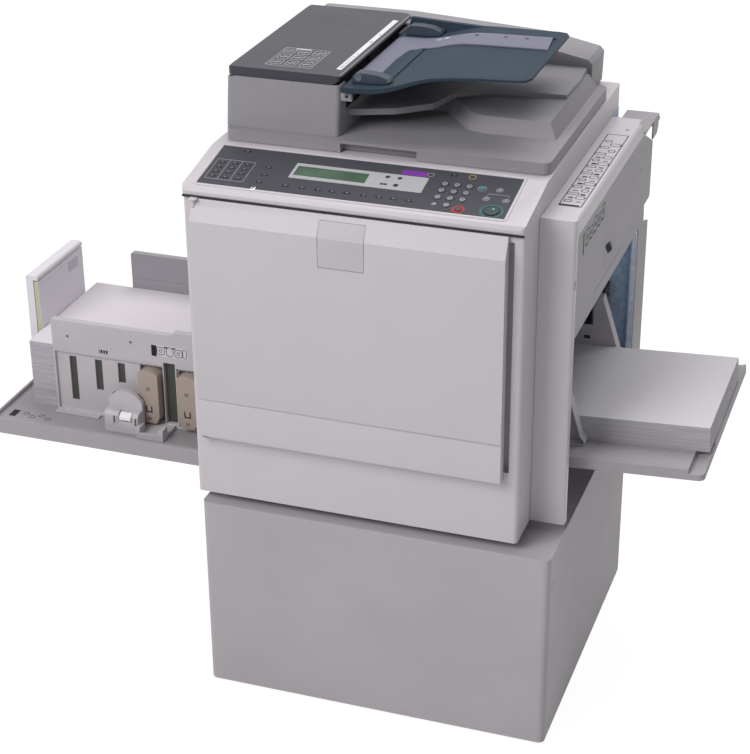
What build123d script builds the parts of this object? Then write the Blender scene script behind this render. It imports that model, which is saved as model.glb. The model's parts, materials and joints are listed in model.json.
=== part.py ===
from build123d import *
import math
import os

# A free-standing digital duplicator on its cabinet, with both paper tables out.
# Millimetres. +X is the operator's right, +Y runs to the back, +Z is up.
# The origin is on the floor, at the centre of the machine's footprint.

# Cabinet
STAND_WIDTH = 656.0
STAND_DEPTH = 630.0
STAND_TOP = 400.0
STAND_SKIRT = 10.0
STAND_RIGHT = 466.0
STAND_FRONT = -389.0
STAND_LEFT = STAND_RIGHT - STAND_WIDTH
STAND_EDGE = 12.0
FOOT_RADIUS = 20.0
FOOT_INSET = 60.0
PAD_HALF = 18.0

# Main body
BODY_RIGHT = STAND_RIGHT - 63.0
BODY_LEFT = BODY_RIGHT - 603.0
BODY_FRONT = STAND_FRONT + 11.0
BODY_BACK = STAND_FRONT + 693.0
BODY_BASE = STAND_TOP + 17.0
BODY_TOP = STAND_TOP + 596.0
SCANNER_FRONT = STAND_FRONT + 165.0
SCANNER_TOP = STAND_TOP + 640.0
SCANNER_BASE = SCANNER_TOP - 80.0
SKIN = 3.0
INLET_X = BODY_LEFT + 90.0
INLET_Z = BODY_BASE + 61.0

# Paper: A3 sheets, fed short edge first from the right and delivered to the left
PAPER_WIDTH = 297.0
PAPER_LENGTH = 420.0
PAPER_Y = -13.0
PAPER_FRONT = PAPER_Y - PAPER_WIDTH / 2
PAPER_BACK = PAPER_Y + PAPER_WIDTH / 2

# Front door
DOOR_LEFT = STAND_RIGHT - 645.0
DOOR_RIGHT = STAND_RIGHT - 90.0
DOOR_BOTTOM = STAND_TOP + 140.0
DOOR_TOP = STAND_TOP + 594.0
DOOR_FACE = STAND_FRONT - 12.0
DOOR_BACK = STAND_FRONT + 9.0
DOOR_GROOVE = STAND_TOP + 218.0
DOOR_PIVOT = (DOOR_LEFT + 4.0, STAND_FRONT)
PIN_RADIUS = 3.0
PIN_GAP = 0.05

# Console
PANEL_LEFT = STAND_RIGHT - 643.0
PANEL_RIGHT = STAND_RIGHT - 103.0
PANEL_FRONT = STAND_FRONT + 21.0
PANEL_BACK = STAND_FRONT + 146.0
PANEL_FRONT_Z = STAND_TOP + 616.0
PANEL_SLOPE = 0.19
PANEL_ANGLE = math.degrees(math.atan(PANEL_SLOPE))
PANEL_FILM = 1.2
KEY_PITCH = 21.2
ROW_SCALE = 0.98
STOP_RADIUS = 7.2
KEY_FIRST = (STAND_RIGHT - 228.0, -284.5)
KEY_RADIUS = 5.4
STOP_AT = (STAND_RIGHT - 184.5, -354.0)
CLEAR_AT = (STAND_RIGHT - 163.5, -285.5)
START_AT = (STAND_RIGHT - 129.5, -348.5)
START_RADIUS = 13.0
KEY_GAP = 0.4
KEY_SINK = 5.8
KEY_RISE = 2.0
KEY_BEVEL = 1.0
POCKET_DEPTH = 8.0
ROUND_SIDES = 12
DISPLAY_LEFT = STAND_RIGHT - 491.0
DISPLAY_RIGHT = STAND_RIGHT - 360.0
DISPLAY_FRONT = -312.5
DISPLAY_BACK = -279.5
CARRIAGE_Z = SCANNER_TOP - 62.0
CARRIAGE_ROD = 5.0
CARRIAGE_LEFT = STAND_RIGHT - 633.0

# Platen cover with its document feeder
COVER_LEFT = STAND_RIGHT - 652.0
COVER_RIGHT = STAND_RIGHT - 67.0
COVER_FRONT = STAND_FRONT + 171.0
COVER_BACK = STAND_FRONT + 602.0
COVER_BOTTOM = SCANNER_TOP + 1.0
COVER_TOP = SCANNER_TOP + 22.0
COVER_HINGE = (STAND_FRONT + 684.0, SCANNER_TOP + 12.0)
HINGE_PIN = 4.0
HINGE_X = (STAND_RIGHT - 581.0, STAND_RIGHT - 171.0)
REAR_BOX_FRONT = STAND_FRONT + 592.0
REAR_BOX_BACK = STAND_FRONT + 688.0
ADF_LEFT = STAND_RIGHT - 656.0
ADF_RIGHT = STAND_RIGHT - 446.0
ADF_FRONT = STAND_FRONT + 185.0
ADF_BACK = REAR_BOX_FRONT - 1.0
ADF_TOP = STAND_TOP + 750.0
ADF_LEAN = 12.0
LID_TOP = STAND_TOP + 767.0
LID_PIVOT = (ADF_LEFT + 6.0, STAND_TOP + 756.0)
LID_POSTS = (ADF_FRONT + 22.0, ADF_BACK - 40.0)
LID_PIN = 2.5
ADF_ROLLER = (ADF_RIGHT - 52.0, STAND_TOP + 731.0)
ADF_SHAFT = 5.0
TRAY_FRONT = STAND_FRONT + 228.0
TRAY_BACK = STAND_FRONT + 524.0
TRAY_LEFT = STAND_RIGHT - 441.0
TRAY_TIP = STAND_RIGHT - 121.0
TRAY_PIVOT = (TRAY_LEFT + 6.0, STAND_TOP + 732.0)
TRAY_CHEEKS = (STAND_FRONT + 199.0, STAND_FRONT + 543.0)
TRAY_RAIL = 10.0
TRAY_DISH = 2.5
GUIDE_TRAVEL = 85.0

# Feed side unit and its table
UNIT_FRONT = STAND_FRONT + 97.0
UNIT_COVER_BACK = STAND_FRONT + 115.0
UNIT_TOP = STAND_TOP + 594.0
UNIT_SEAM = STAND_TOP + 562.0
UNIT_TOP_BACK = STAND_FRONT + 632.0
BAY_TOP = STAND_TOP + 375.0
BAY_BACK = STAND_FRONT + 628.0
COLUMN_FRONT = STAND_FRONT + 631.0
COLUMN_BACK = STAND_FRONT + 718.0
UNIT_BACK = STAND_FRONT + 722.0
MACHINE_BACK = 401.0
FEED_TABLE_TOP = STAND_TOP + 119.4
FEED_TABLE_TILT = 3.2
FEED_TABLE_END = 696.3
FEED_TABLE_STEP = STAND_RIGHT + 203.0
FEED_TABLE_FRONT = STAND_FRONT + 158.0
FEED_TABLE_BACK = STAND_FRONT + 612.0
FEED_STACK_END = STAND_RIGHT + 228.0
FEED_STACK_HEIGHT = 48.0
FEED_PAD_DEPTH = 24.0

# Delivery table
TABLE_END = -697.0
TABLE_FRONT = STAND_FRONT + 130.0
TABLE_BACK = STAND_FRONT + 620.0
TABLE_FLOOR = STAND_TOP + 17.0
TABLE_RIM = STAND_TOP + 25.0
TABLE_BOTTOM = STAND_TOP - 7.0
DELIVERY_LEFT = STAND_RIGHT - 1118.0
DELIVERY_STACK_TOP = STAND_TOP + 153.0
PLATE_LEFT = STAND_RIGHT - 1058.0
PLATE_RIGHT = BODY_LEFT - 6.0
PLATE_GAP = 0.6
PLATE_DEPTH = 14.0
PLATE_BAND = STAND_TOP + 148.0
PLATE_TOP = STAND_TOP + 216.0
PLATE_STEP_X = STAND_RIGHT - 803.0
PLATE_STEP_TOP = STAND_TOP + 224.0
PLATE_RECESS = 5.0
PLATE_SLOTS = ((-1026.0, 43.0), (-971.0, 73.0), (-922.0, 96.0))
WING_LEFTS = (STAND_RIGHT - 872.0, STAND_RIGHT - 791.0)
WING_WIDTH = 43.0
WING_BOTTOM = STAND_TOP + 28.0
WING_TOP = STAND_TOP + 141.0
WING_GAP = 2.0
GRIP_X = STAND_RIGHT - 894.5
GRIP_HALF = 35.5
LEVER_X = STAND_RIGHT - 886.0
FENCE_FRONT = STAND_FRONT + 283.0
FENCE_BACK = STAND_FRONT + 475.0
FENCE_TOP = STAND_TOP + 267.0

# Works inside the body
DRUM_X = STAND_RIGHT - 364.0
DRUM_Z = STAND_TOP + 356.0
DRUM_RADIUS = 95.0
DRUM_FRONT = STAND_FRONT + 200.0
DRUM_BACK = STAND_FRONT + 552.0
DRUM_SIDES = 24
GEAR_MODULE = 7.5
GEAR_TEETH = 24
DRUM_HUB = 12.0
CAP_RADIUS = 46.0
PRESS_RADIUS = 24.4
PRESS_SHAFT = 8.0
PRESS_Z = DRUM_Z - DRUM_RADIUS - PRESS_RADIUS - 2.6
FEED_SHAFT = 6.0
FEED_ROLLER_X = STAND_RIGHT - 180.0
FEED_ROLLER_Z = STAND_TOP + 271.0
FEED_ROLLER_RADIUS = 22.0
FRAME_FRONT = STAND_FRONT + 120.0
FRAME_BACK = STAND_FRONT + 640.0
FRAME_SHEET = 4.0
PAN_SHEET = 6.0
BAR_HALF = 9.0
SHAFT_GAP = 0.05


def block(x_span, y_span, z_span):
    """A plain box between two corners."""
    size = [high - low for low, high in (x_span, y_span, z_span)]
    centre = [(low + high) / 2 for low, high in (x_span, y_span, z_span)]
    return Pos(*centre) * Box(*size)


def along_x(points, start, end):
    """Carry a closed outline of (y, z) points from one x to another."""
    outline = make_face(Polyline(*points, close=True))
    return extrude(Plane.YZ.offset(start) * outline, amount=end - start)


def along_y(points, start, end):
    """Carry a closed outline of (x, z) points from one y to another."""
    outline = make_face(Polyline(*points, close=True))
    return extrude(Plane.XZ.offset(-end) * outline, amount=end - start)


def along_z(points, start, end):
    """Carry a closed outline of (x, y) points from one z to another."""
    outline = make_face(Polyline(*points, close=True))
    return extrude(Plane.XY.offset(start) * outline, amount=end - start)


def rod_x(radius, start, end, y, z):
    """A round bar along x."""
    return Pos((start + end) / 2, y, z) * Rot(0, 90, 0) * Cylinder(radius, end - start)


def rod_y(radius, start, end, x, z):
    """A round bar along y."""
    return Pos(x, (start + end) / 2, z) * Rot(90, 0, 0) * Cylinder(radius, end - start)


def rod_z(radius, start, end, x, y):
    """A round bar along z."""
    return Pos(x, y, (start + end) / 2) * Cylinder(radius, end - start)


def prism_x(radius, sides, start, end, y, z):
    """A many-sided bar along x, its corners on the radius."""
    return Pos(start, y, z) * Rot(0, 90, 0) * extrude(RegularPolygon(radius, sides), amount=end - start)


def prism_y(radius, sides, start, end, x, z):
    """A many-sided bar along y, its corners on the radius."""
    return Pos(x, start, z) * Rot(-90, 0, 0) * extrude(RegularPolygon(radius, sides), amount=end - start)


def round_edges(part, axis, radius, keep=None):
    """Fillet the edges that run along an axis, all of them or those that a test keeps."""
    edges = part.edges().filter_by(axis)
    return fillet([edge for edge in edges if keep is None or keep(edge.center())], radius)


def cut_edges(part, axis, size):
    """Chamfer every edge that runs along an axis."""
    return chamfer(part.edges().filter_by(axis), size)


# Cabinet

def stand_cabinet():
    """Folded sheet cabinet, open underneath, with rounded upright corners."""
    wall = 2.5
    outer_y = (STAND_FRONT, STAND_FRONT + STAND_DEPTH)
    outer = block((STAND_LEFT, STAND_RIGHT), outer_y, (STAND_SKIRT, STAND_TOP))
    outer = round_edges(outer, Axis.Z, STAND_EDGE)
    inner = block(
        (STAND_LEFT + wall, STAND_RIGHT - wall),
        (STAND_FRONT + wall, STAND_FRONT + STAND_DEPTH - wall),
        (STAND_SKIRT, STAND_TOP - wall),
    )
    cabinet = outer - inner
    rail_height = 40.0
    rail_half = 25.0
    for rail_x in (STAND_LEFT + FOOT_INSET, STAND_RIGHT - FOOT_INSET):
        cabinet += block(
            (rail_x - rail_half, rail_x + rail_half),
            (STAND_FRONT + wall, STAND_FRONT + STAND_DEPTH - wall),
            (STAND_SKIRT, STAND_SKIRT + rail_height),
        )
    return cabinet


def rubber_feet():
    """Four levelling feet under the cabinet and four pads between it and the body."""
    feet = []
    for x in (STAND_LEFT + FOOT_INSET, STAND_RIGHT - FOOT_INSET):
        for y in (STAND_FRONT + FOOT_INSET, STAND_FRONT + STAND_DEPTH - FOOT_INSET):
            foot = RegularPolygon(FOOT_RADIUS, ROUND_SIDES)
            feet.append(Pos(x, y, 0) * extrude(foot, amount=STAND_SKIRT))
    pad_inset = 50.0
    for x in (STAND_LEFT + pad_inset, BODY_RIGHT - pad_inset):
        for y in (STAND_FRONT + FOOT_INSET, BODY_BACK - FOOT_INSET - pad_inset):
            x_span = (x - PAD_HALF, x + PAD_HALF)
            y_span = (y - PAD_HALF, y + PAD_HALF)
            feet.append(block(x_span, y_span, (STAND_TOP, BODY_BASE)))
    return Compound(children=feet)


# Body frame and covers

def frame_plate(y_start):
    """One upright frame plate, its top corners cut off."""
    lean = 60.0
    inset = 8.0
    shoulder = BODY_TOP - 45.0
    outline = [
        (BODY_LEFT + inset, BODY_BASE + PAN_SHEET),
        (BODY_RIGHT - inset, BODY_BASE + PAN_SHEET),
        (BODY_RIGHT - inset, shoulder - lean),
        (BODY_RIGHT - inset - lean, shoulder),
        (BODY_LEFT + inset + lean, shoulder),
        (BODY_LEFT + inset, shoulder - lean),
    ]
    return along_y(outline, y_start, y_start + FRAME_SHEET)


def machine_frame():
    """Base pan, two upright plates with their bearings and the cross bars that tie them."""
    pan_y = (BODY_FRONT + 35, BODY_BACK - PAN_SHEET)
    pan = block((BODY_LEFT + 5, BODY_RIGHT - 5), pan_y, (BODY_BASE, BODY_BASE + PAN_SHEET))
    front_y = (FRAME_FRONT - 1, FRAME_FRONT + FRAME_SHEET + 1)
    back_y = (FRAME_BACK - 1, FRAME_BACK + FRAME_SHEET + 1)
    front = frame_plate(FRAME_FRONT)
    back = frame_plate(FRAME_BACK)
    bearings = (
        (DRUM_X, PRESS_Z, PRESS_SHAFT + SHAFT_GAP),
        (FEED_ROLLER_X, FEED_ROLLER_Z, FEED_SHAFT + SHAFT_GAP),
    )
    for x, z, radius in bearings:
        front -= block((x - radius, x + radius), front_y, (z - radius, z + radius))
        back -= rod_y(radius, *back_y, x, z)
    front -= prism_y(DRUM_RADIUS + 10.0, DRUM_SIDES, *front_y, DRUM_X, DRUM_Z)
    back -= rod_y(DRUM_HUB + SHAFT_GAP, *back_y, DRUM_X, DRUM_Z)
    front -= block((BODY_RIGHT - 130, BODY_RIGHT - 30), front_y, (STAND_TOP + 400, STAND_TOP + 470))
    front -= block((BODY_LEFT + 40, BODY_LEFT + 150), front_y, (STAND_TOP + 440, STAND_TOP + 500))
    frame = pan + front + back
    bars = (
        (BODY_LEFT + 90, BODY_TOP - 60),
        (BODY_RIGHT - 90, BODY_TOP - 60),
        (BODY_LEFT + 60, BODY_BASE + 60),
    )
    for x, z in bars:
        x_span = (x - BAR_HALF, x + BAR_HALF)
        frame += block(x_span, (FRAME_FRONT + FRAME_SHEET, FRAME_BACK), (z - BAR_HALF, z + BAR_HALF))
    return frame


def front_frame():
    """Moulded front frame round the drum bay, with the finger groove beside the door."""
    depth = 30.0
    bay = (STAND_RIGHT - 636.0, STAND_RIGHT - 106.0)
    frame = block((BODY_LEFT, BODY_RIGHT), (BODY_FRONT, BODY_FRONT + depth), (BODY_BASE, BODY_TOP))
    frame = round_edges(frame, Axis.Z, 8.0, lambda c: c.Y < BODY_FRONT + 1)
    frame -= block(bay, (BODY_FRONT - 1, BODY_FRONT + depth + 1), (STAND_TOP + 150.0, STAND_TOP + 588.0))
    wall = 3.0
    lower = ((BODY_LEFT + wall, BODY_RIGHT - wall), (BODY_FRONT + wall, BODY_FRONT + depth + 1))
    frame -= block(*lower, (BODY_BASE + wall, STAND_TOP + 150.0 - wall))
    groove_x = (DOOR_RIGHT - 5.0, DOOR_RIGHT + 9.0)
    groove = block(groove_x, (BODY_FRONT - 1, BODY_FRONT + 16.0), (DOOR_BOTTOM + 12, DOOR_TOP - 8))
    frame -= cut_edges(groove, Axis.X, 5.0)
    for x_span, end in (((BODY_RIGHT - wall, BODY_RIGHT), UNIT_FRONT + 18.0),
                        ((BODY_LEFT, BODY_LEFT + wall), BODY_FRONT + 60.0)):
        frame += block(x_span, (BODY_FRONT + depth, end), (BODY_BASE, BODY_TOP))
    pin_x, pin_y = DOOR_PIVOT
    ear = 1.2
    for low, pin_low in ((DOOR_TOP + 0.5, DOOR_TOP - 14.0), (DOOR_BOTTOM - 0.5 - ear, DOOR_BOTTOM - 0.5)):
        frame += block((pin_x - 7, pin_x + 7), (pin_y - 7, BODY_FRONT), (low, low + ear))
        frame += rod_z(PIN_RADIUS, pin_low, pin_low + 14.5, pin_x, pin_y)
    return frame


def front_door():
    """Hollow door with a chamfered top band, a groove low on its face and pin bosses."""
    profile = [
        (DOOR_BACK, DOOR_BOTTOM),
        (DOOR_FACE + 8, DOOR_BOTTOM),
        (DOOR_FACE + 2, DOOR_BOTTOM + 4),
        (DOOR_FACE + 1, DOOR_BOTTOM + 12),
        (DOOR_FACE + 1, DOOR_GROOVE - 2),
        (DOOR_FACE + 3, DOOR_GROOVE - 1),
        (DOOR_FACE + 3, DOOR_GROOVE + 1),
        (DOOR_FACE, DOOR_GROOVE + 2),
        (DOOR_FACE, DOOR_TOP - 36),
        (DOOR_BACK - 4, DOOR_TOP),
        (DOOR_BACK, DOOR_TOP),
    ]
    door = along_x(profile, DOOR_LEFT, DOOR_RIGHT)
    wall = 3.0
    hollow = [
        (DOOR_BACK + 1, DOOR_BOTTOM + wall),
        (DOOR_FACE + 5, DOOR_BOTTOM + wall + 4),
        (DOOR_FACE + 6, DOOR_GROOVE),
        (DOOR_FACE + wall, DOOR_GROOVE + 8),
        (DOOR_FACE + wall, DOOR_TOP - 38),
        (DOOR_BACK - 6, DOOR_TOP - 6),
        (DOOR_BACK + 1, DOOR_TOP - 6),
    ]
    door -= along_x(hollow, DOOR_LEFT + wall, DOOR_RIGHT - wall)
    rib = 2.5
    rib_profile = [(DOOR_BACK - 1, z) for z in (DOOR_BOTTOM + 2, DOOR_TOP - 8)] + [
        (DOOR_FACE + 2, DOOR_TOP - 36),
        (DOOR_FACE + 4, DOOR_BOTTOM + 6),
    ]
    for step in range(1, 5):
        rib_x = DOOR_LEFT + step * (DOOR_RIGHT - DOOR_LEFT) / 5
        door += along_x(rib_profile, rib_x - rib / 2, rib_x + rib / 2)
    pin_x, pin_y = DOOR_PIVOT
    boss = 7.0
    for low, high in ((DOOR_BOTTOM, DOOR_BOTTOM + 20), (DOOR_TOP - 20, DOOR_TOP)):
        post = block((DOOR_LEFT, pin_x + boss), (DOOR_FACE + 6, DOOR_BACK), (low, high))
        door += post & along_x(profile, DOOR_LEFT, DOOR_RIGHT)
    for low, high in ((DOOR_BOTTOM - 1, DOOR_BOTTOM + 15), (DOOR_TOP - 15, DOOR_TOP + 1)):
        door -= rod_z(PIN_RADIUS + PIN_GAP, low, high, pin_x, pin_y)
    return door


def left_cover():
    """Left side panel with the delivery mouth and a recessed hand grip."""
    panel = block((BODY_LEFT, BODY_LEFT + SKIN), (BODY_FRONT + 60.0, BODY_BACK - SKIN), (BODY_BASE, BODY_TOP))
    mouth = block(
        (BODY_LEFT - 1, BODY_LEFT + SKIN + 1),
        (PAPER_FRONT - 22, PAPER_BACK + 22),
        (STAND_TOP + 235.0, STAND_TOP + 335.0),
    )
    panel -= cut_edges(mouth, Axis.X, 8.0)
    grip_x = (BODY_LEFT - 1, BODY_LEFT + SKIN + 1)
    grip = block(grip_x, (PAPER_Y - 45, PAPER_Y + 45), (BODY_BASE + 20, BODY_BASE + 45))
    panel -= cut_edges(grip, Axis.X, 8.0)
    for end_y in (BODY_FRONT + 66.0, BODY_BACK - SKIN - 6):
        panel += block((BODY_LEFT, BODY_LEFT + 14), (end_y, end_y + SKIN), (BODY_BASE + 8, SCANNER_BASE - 2))
    return panel


def rear_cover():
    """Back panel with two fields of cooling slots."""
    panel = block((BODY_LEFT, BODY_RIGHT), (BODY_BACK - SKIN, BODY_BACK), (BODY_BASE, SCANNER_BASE - 2))
    slot_half = 45.0
    slot_height = 5.0
    slot_pitch = 12.0
    through = (BODY_BACK - 2 * SKIN, BODY_BACK + SKIN)
    for field_x in (BODY_LEFT + 130.0, BODY_RIGHT - 150.0):
        for row in range(8):
            low = STAND_TOP + 430.0 + row * slot_pitch
            panel -= block((field_x - slot_half, field_x + slot_half), through, (low, low + slot_height))
    return panel - block((INLET_X - 16, INLET_X + 16), through, (INLET_Z - 13, INLET_Z + 13))


def power_inlet():
    """Recessed appliance inlet with three blades, in the back panel."""
    x = INLET_X
    z = INLET_Z
    flange = block((x - 26, x + 26), (BODY_BACK, BODY_BACK + 3), (z - 15, z + 15))
    body = block((x - 15.5, x + 15.5), (BODY_BACK - 22, BODY_BACK), (z - 12.5, z + 12.5))
    inlet = flange + cut_edges(body, Axis.Y, 3.0)
    inlet -= block((x - 12.5, x + 12.5), (BODY_BACK - 18, BODY_BACK + 4), (z - 8.5, z + 8.5))
    for blade_x, blade_z in ((x - 7, z - 2), (x, z + 3), (x + 7, z - 2)):
        blade = ((blade_x - 1, blade_x + 1), (BODY_BACK - 19, BODY_BACK - 3), (blade_z - 3, blade_z + 3))
        inlet += block(*blade)
    return inlet


def feed_wall():
    """Zinced inner wall of the feed bay: the body's right side and the bay's back."""
    side_y = (UNIT_FRONT + 18.2, BODY_BACK - SKIN)
    side = block((BODY_RIGHT - SKIN, BODY_RIGHT), side_y, (BODY_BASE, BODY_TOP))
    mouth = block(
        (BODY_RIGHT - 2 * SKIN, BODY_RIGHT + SKIN),
        (PAPER_FRONT - 26, PAPER_BACK + 26),
        (BODY_BASE + 3, STAND_TOP + 345.0),
    )
    side -= round_edges(mouth, Axis.X, 12.0, lambda c: c.Z > STAND_TOP + 300)
    back = block((BODY_RIGHT, STAND_RIGHT - SKIN - 0.3), (BAY_BACK, BAY_BACK + 2), (BODY_BASE, BAY_TOP + 30))
    lip_x = (STAND_RIGHT - SKIN - 9, STAND_RIGHT - SKIN - 6)
    lip = block(lip_x, (BAY_BACK - 8, BAY_BACK), (BODY_BASE, BAY_TOP - 2))
    ceiling_y = (UNIT_COVER_BACK + 1, BAY_BACK)
    ceiling = block((BODY_RIGHT, STAND_RIGHT - SKIN - 0.3), ceiling_y, (BAY_TOP + 28, BAY_TOP + 30))
    return side + back + lip + ceiling


def feed_front_cover():
    """Front strip of the feed unit, with a rounded outer edge."""
    strip = block((BODY_RIGHT, STAND_RIGHT), (UNIT_FRONT, UNIT_COVER_BACK), (BODY_BASE, UNIT_TOP + 2))
    strip = round_edges(strip, Axis.Z, 6.0, lambda c: c.Y < UNIT_FRONT + 1 and c.X > STAND_RIGHT - 1)
    return strip - block(
        (BODY_RIGHT + SKIN, STAND_RIGHT - SKIN),
        (UNIT_FRONT + SKIN, UNIT_COVER_BACK + 1),
        (BODY_BASE + SKIN, UNIT_TOP + 2 - SKIN),
    )


def feed_top_cover():
    """Top plate of the feed unit, folded down along its outer side."""
    profile = [
        (BODY_RIGHT, UNIT_TOP - SKIN),
        (STAND_RIGHT - SKIN, UNIT_TOP - SKIN),
        (STAND_RIGHT - SKIN, UNIT_SEAM + 0.5),
        (STAND_RIGHT, UNIT_SEAM + 0.5),
        (STAND_RIGHT, UNIT_TOP - 4),
        (STAND_RIGHT - 4, UNIT_TOP),
        (BODY_RIGHT, UNIT_TOP),
    ]
    cover = along_y(profile, UNIT_COVER_BACK + 0.3, UNIT_TOP_BACK)
    notch = [
        (UNIT_TOP_BACK - 26, UNIT_TOP + 1),
        (UNIT_TOP_BACK + 1, UNIT_TOP + 1),
        (UNIT_TOP_BACK + 1, UNIT_SEAM),
        (UNIT_TOP_BACK - 1, UNIT_SEAM),
    ]
    return cover - along_x(notch, STAND_RIGHT - 2 * SKIN, STAND_RIGHT + 1)


def feed_side_cover():
    """Outer side plate: it closes the bay above, and runs down behind it as a column."""
    outline = [
        (UNIT_COVER_BACK + 0.3, UNIT_SEAM),
        (UNIT_COVER_BACK + 0.3, BAY_TOP),
        (COLUMN_FRONT, BAY_TOP),
        (COLUMN_FRONT, BODY_BASE),
        (COLUMN_BACK, BODY_BASE),
        (COLUMN_BACK, STAND_TOP + 360),
        (STAND_FRONT + 675, STAND_TOP + 374),
        (STAND_FRONT + 672, STAND_TOP + 408),
        (UNIT_BACK - 4, STAND_TOP + 408),
        (UNIT_BACK, STAND_TOP + 414),
        (UNIT_BACK, STAND_TOP + 522),
        (STAND_FRONT + 640, UNIT_SEAM),
    ]
    plate = along_x(outline, STAND_RIGHT - SKIN, STAND_RIGHT)
    slot = [
        (STAND_FRONT + 332, STAND_TOP + 470),
        (STAND_FRONT + 352, STAND_TOP + 470),
        (STAND_FRONT + 396, STAND_TOP + 428),
        (STAND_FRONT + 396, STAND_TOP + 412),
        (STAND_FRONT + 380, STAND_TOP + 412),
        (STAND_FRONT + 332, STAND_TOP + 456),
    ]
    plate -= along_x(slot, STAND_RIGHT - 2 * SKIN, STAND_RIGHT + 1)
    hole_radius = 3.0
    for hole_y, hole_z in ((STAND_FRONT + 658, STAND_TOP + 521), (STAND_FRONT + 619, STAND_TOP + 499)):
        plate -= prism_x(hole_radius, ROUND_SIDES, STAND_RIGHT - 2 * SKIN, STAND_RIGHT + 1, hole_y, hole_z)
    bead = block(
        (STAND_RIGHT - 0.8, STAND_RIGHT + 0.1),
        (STAND_FRONT + 250, STAND_FRONT + 480),
        (STAND_TOP + 400, STAND_TOP + 402.5),
    )
    flange_x = (STAND_RIGHT - 12.0, STAND_RIGHT - SKIN)
    plate += block(flange_x, (COLUMN_BACK - SKIN, COLUMN_BACK), (BODY_BASE, STAND_TOP + 355))
    return plate - bead


def feed_rear_bracket():
    """Folded bracket behind the unit, with a knurled screw."""
    top_y = (UNIT_TOP_BACK + 16, MACHINE_BACK - 22)
    top = block((BODY_RIGHT, STAND_RIGHT), top_y, (UNIT_SEAM - SKIN, UNIT_SEAM))
    side = along_x(
        [
            (UNIT_BACK + 0.3, UNIT_SEAM - SKIN),
            (UNIT_BACK + 0.3, STAND_TOP + 524),
            (MACHINE_BACK - 30, STAND_TOP + 524),
            (MACHINE_BACK - 22, STAND_TOP + 534),
            (MACHINE_BACK - 22, UNIT_SEAM - SKIN),
        ],
        STAND_RIGHT - SKIN,
        STAND_RIGHT,
    )
    back_y = (MACHINE_BACK - 22, MACHINE_BACK - 19)
    back = block((BODY_RIGHT, STAND_RIGHT), back_y, (STAND_TOP + 534, UNIT_SEAM))
    root_y = (BAY_BACK + 2, MACHINE_BACK - 22)
    root = block((BODY_RIGHT, BODY_RIGHT + SKIN), root_y, (STAND_TOP + 470, UNIT_SEAM - SKIN))
    knob_x = STAND_RIGHT - 9.0
    knob_z = STAND_TOP + 546.0
    stem = prism_y(4.0, ROUND_SIDES, MACHINE_BACK - 19, MACHINE_BACK - 10, knob_x, knob_z)
    knob = prism_y(8.0, ROUND_SIDES, MACHINE_BACK - 10, MACHINE_BACK, knob_x, knob_z)
    return top + side + back + root + stem + knob


# Scanner and console

def scanner_housing():
    """Scanner tray with its glass rebates, and the hinge lugs at the back."""
    low = SCANNER_BASE
    housing = block((BODY_LEFT, BODY_RIGHT), (SCANNER_FRONT, BODY_BACK), (BODY_TOP, SCANNER_TOP))
    housing = round_edges(housing, Axis.Z, 8.0, lambda c: c.Y > BODY_BACK - 1)
    housing += block((BODY_LEFT + SKIN, BODY_RIGHT - SKIN), (SCANNER_FRONT, BODY_BACK), (low, BODY_TOP))
    housing -= block(
        (BODY_LEFT + 12, BODY_RIGHT - 12),
        (SCANNER_FRONT + 12, BODY_BACK - 14),
        (low + 5, SCANNER_TOP - 8),
    )
    for glass_x in glass_spans():
        rebate = ((glass_x[0], glass_x[1]), glass_y())
        housing -= block(*rebate, (SCANNER_TOP - 4, SCANNER_TOP + 1))
        window = ((glass_x[0] + 5, glass_x[1] - 5), (glass_y()[0] + 5, glass_y()[1] - 5))
        housing -= block(*window, (SCANNER_TOP - 9, SCANNER_TOP))
    housing += rod_x(CARRIAGE_ROD, BODY_LEFT + 12, BODY_RIGHT - 12, PAPER_Y, CARRIAGE_Z + 12)
    hinge_y, hinge_z = COVER_HINGE
    for hinge_x in HINGE_X:
        for lug_x in (hinge_x - 17.0, hinge_x + 11.0):
            housing += along_x(hinge_ear(SCANNER_TOP), lug_x, lug_x + 6)
        housing += rod_x(HINGE_PIN, hinge_x - 17, hinge_x + 17, hinge_y, hinge_z)
    return housing


def hinge_ear(foot_z):
    """Outline of a cover hinge ear, its top corners cut off round the pin."""
    hinge_y, hinge_z = COVER_HINGE
    half = 8.0
    cut = 4.0
    return [
        (hinge_y - half, foot_z),
        (hinge_y + half, foot_z),
        (hinge_y + half, hinge_z + cut),
        (hinge_y + cut, hinge_z + half),
        (hinge_y - cut, hinge_z + half),
        (hinge_y - half, hinge_z + cut),
    ]


def glass_spans():
    """The x spans of the exposure strip and of the platen glass."""
    return ((STAND_RIGHT - 641.0, STAND_RIGHT - 611.0), (STAND_RIGHT - 601.0, STAND_RIGHT - 165.0))


def glass_y():
    """The y span that both glasses share."""
    return (PAPER_Y - 156.0, PAPER_Y + 156.0)


def platen_glass():
    """Platen glass and the narrow strip that the feeder reads through."""
    panes = []
    for low, high in glass_spans():
        span_y = (glass_y()[0] + 0.2, glass_y()[1] - 0.2)
        panes.append(block((low + 0.2, high - 0.2), span_y, (SCANNER_TOP - 4, SCANNER_TOP)))
    return Compound(children=panes)


def scanner_carriage():
    """Lamp and mirror carriage that travels under the glass."""
    z = CARRIAGE_Z
    x = CARRIAGE_LEFT
    section = [
        (x, z),
        (x + 44, z),
        (x + 44, z + 22),
        (x + 34, z + 34),
        (x + 26, z + 34),
        (x + 22, z + 24),
        (x + 16, z + 34),
        (x, z + 34),
    ]
    carriage = along_y(section, PAPER_Y - 170, PAPER_Y + 170)
    return carriage - rod_x(CARRIAGE_ROD + SHAFT_GAP, x - 1, x + 45, PAPER_Y, CARRIAGE_Z + 12)


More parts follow.
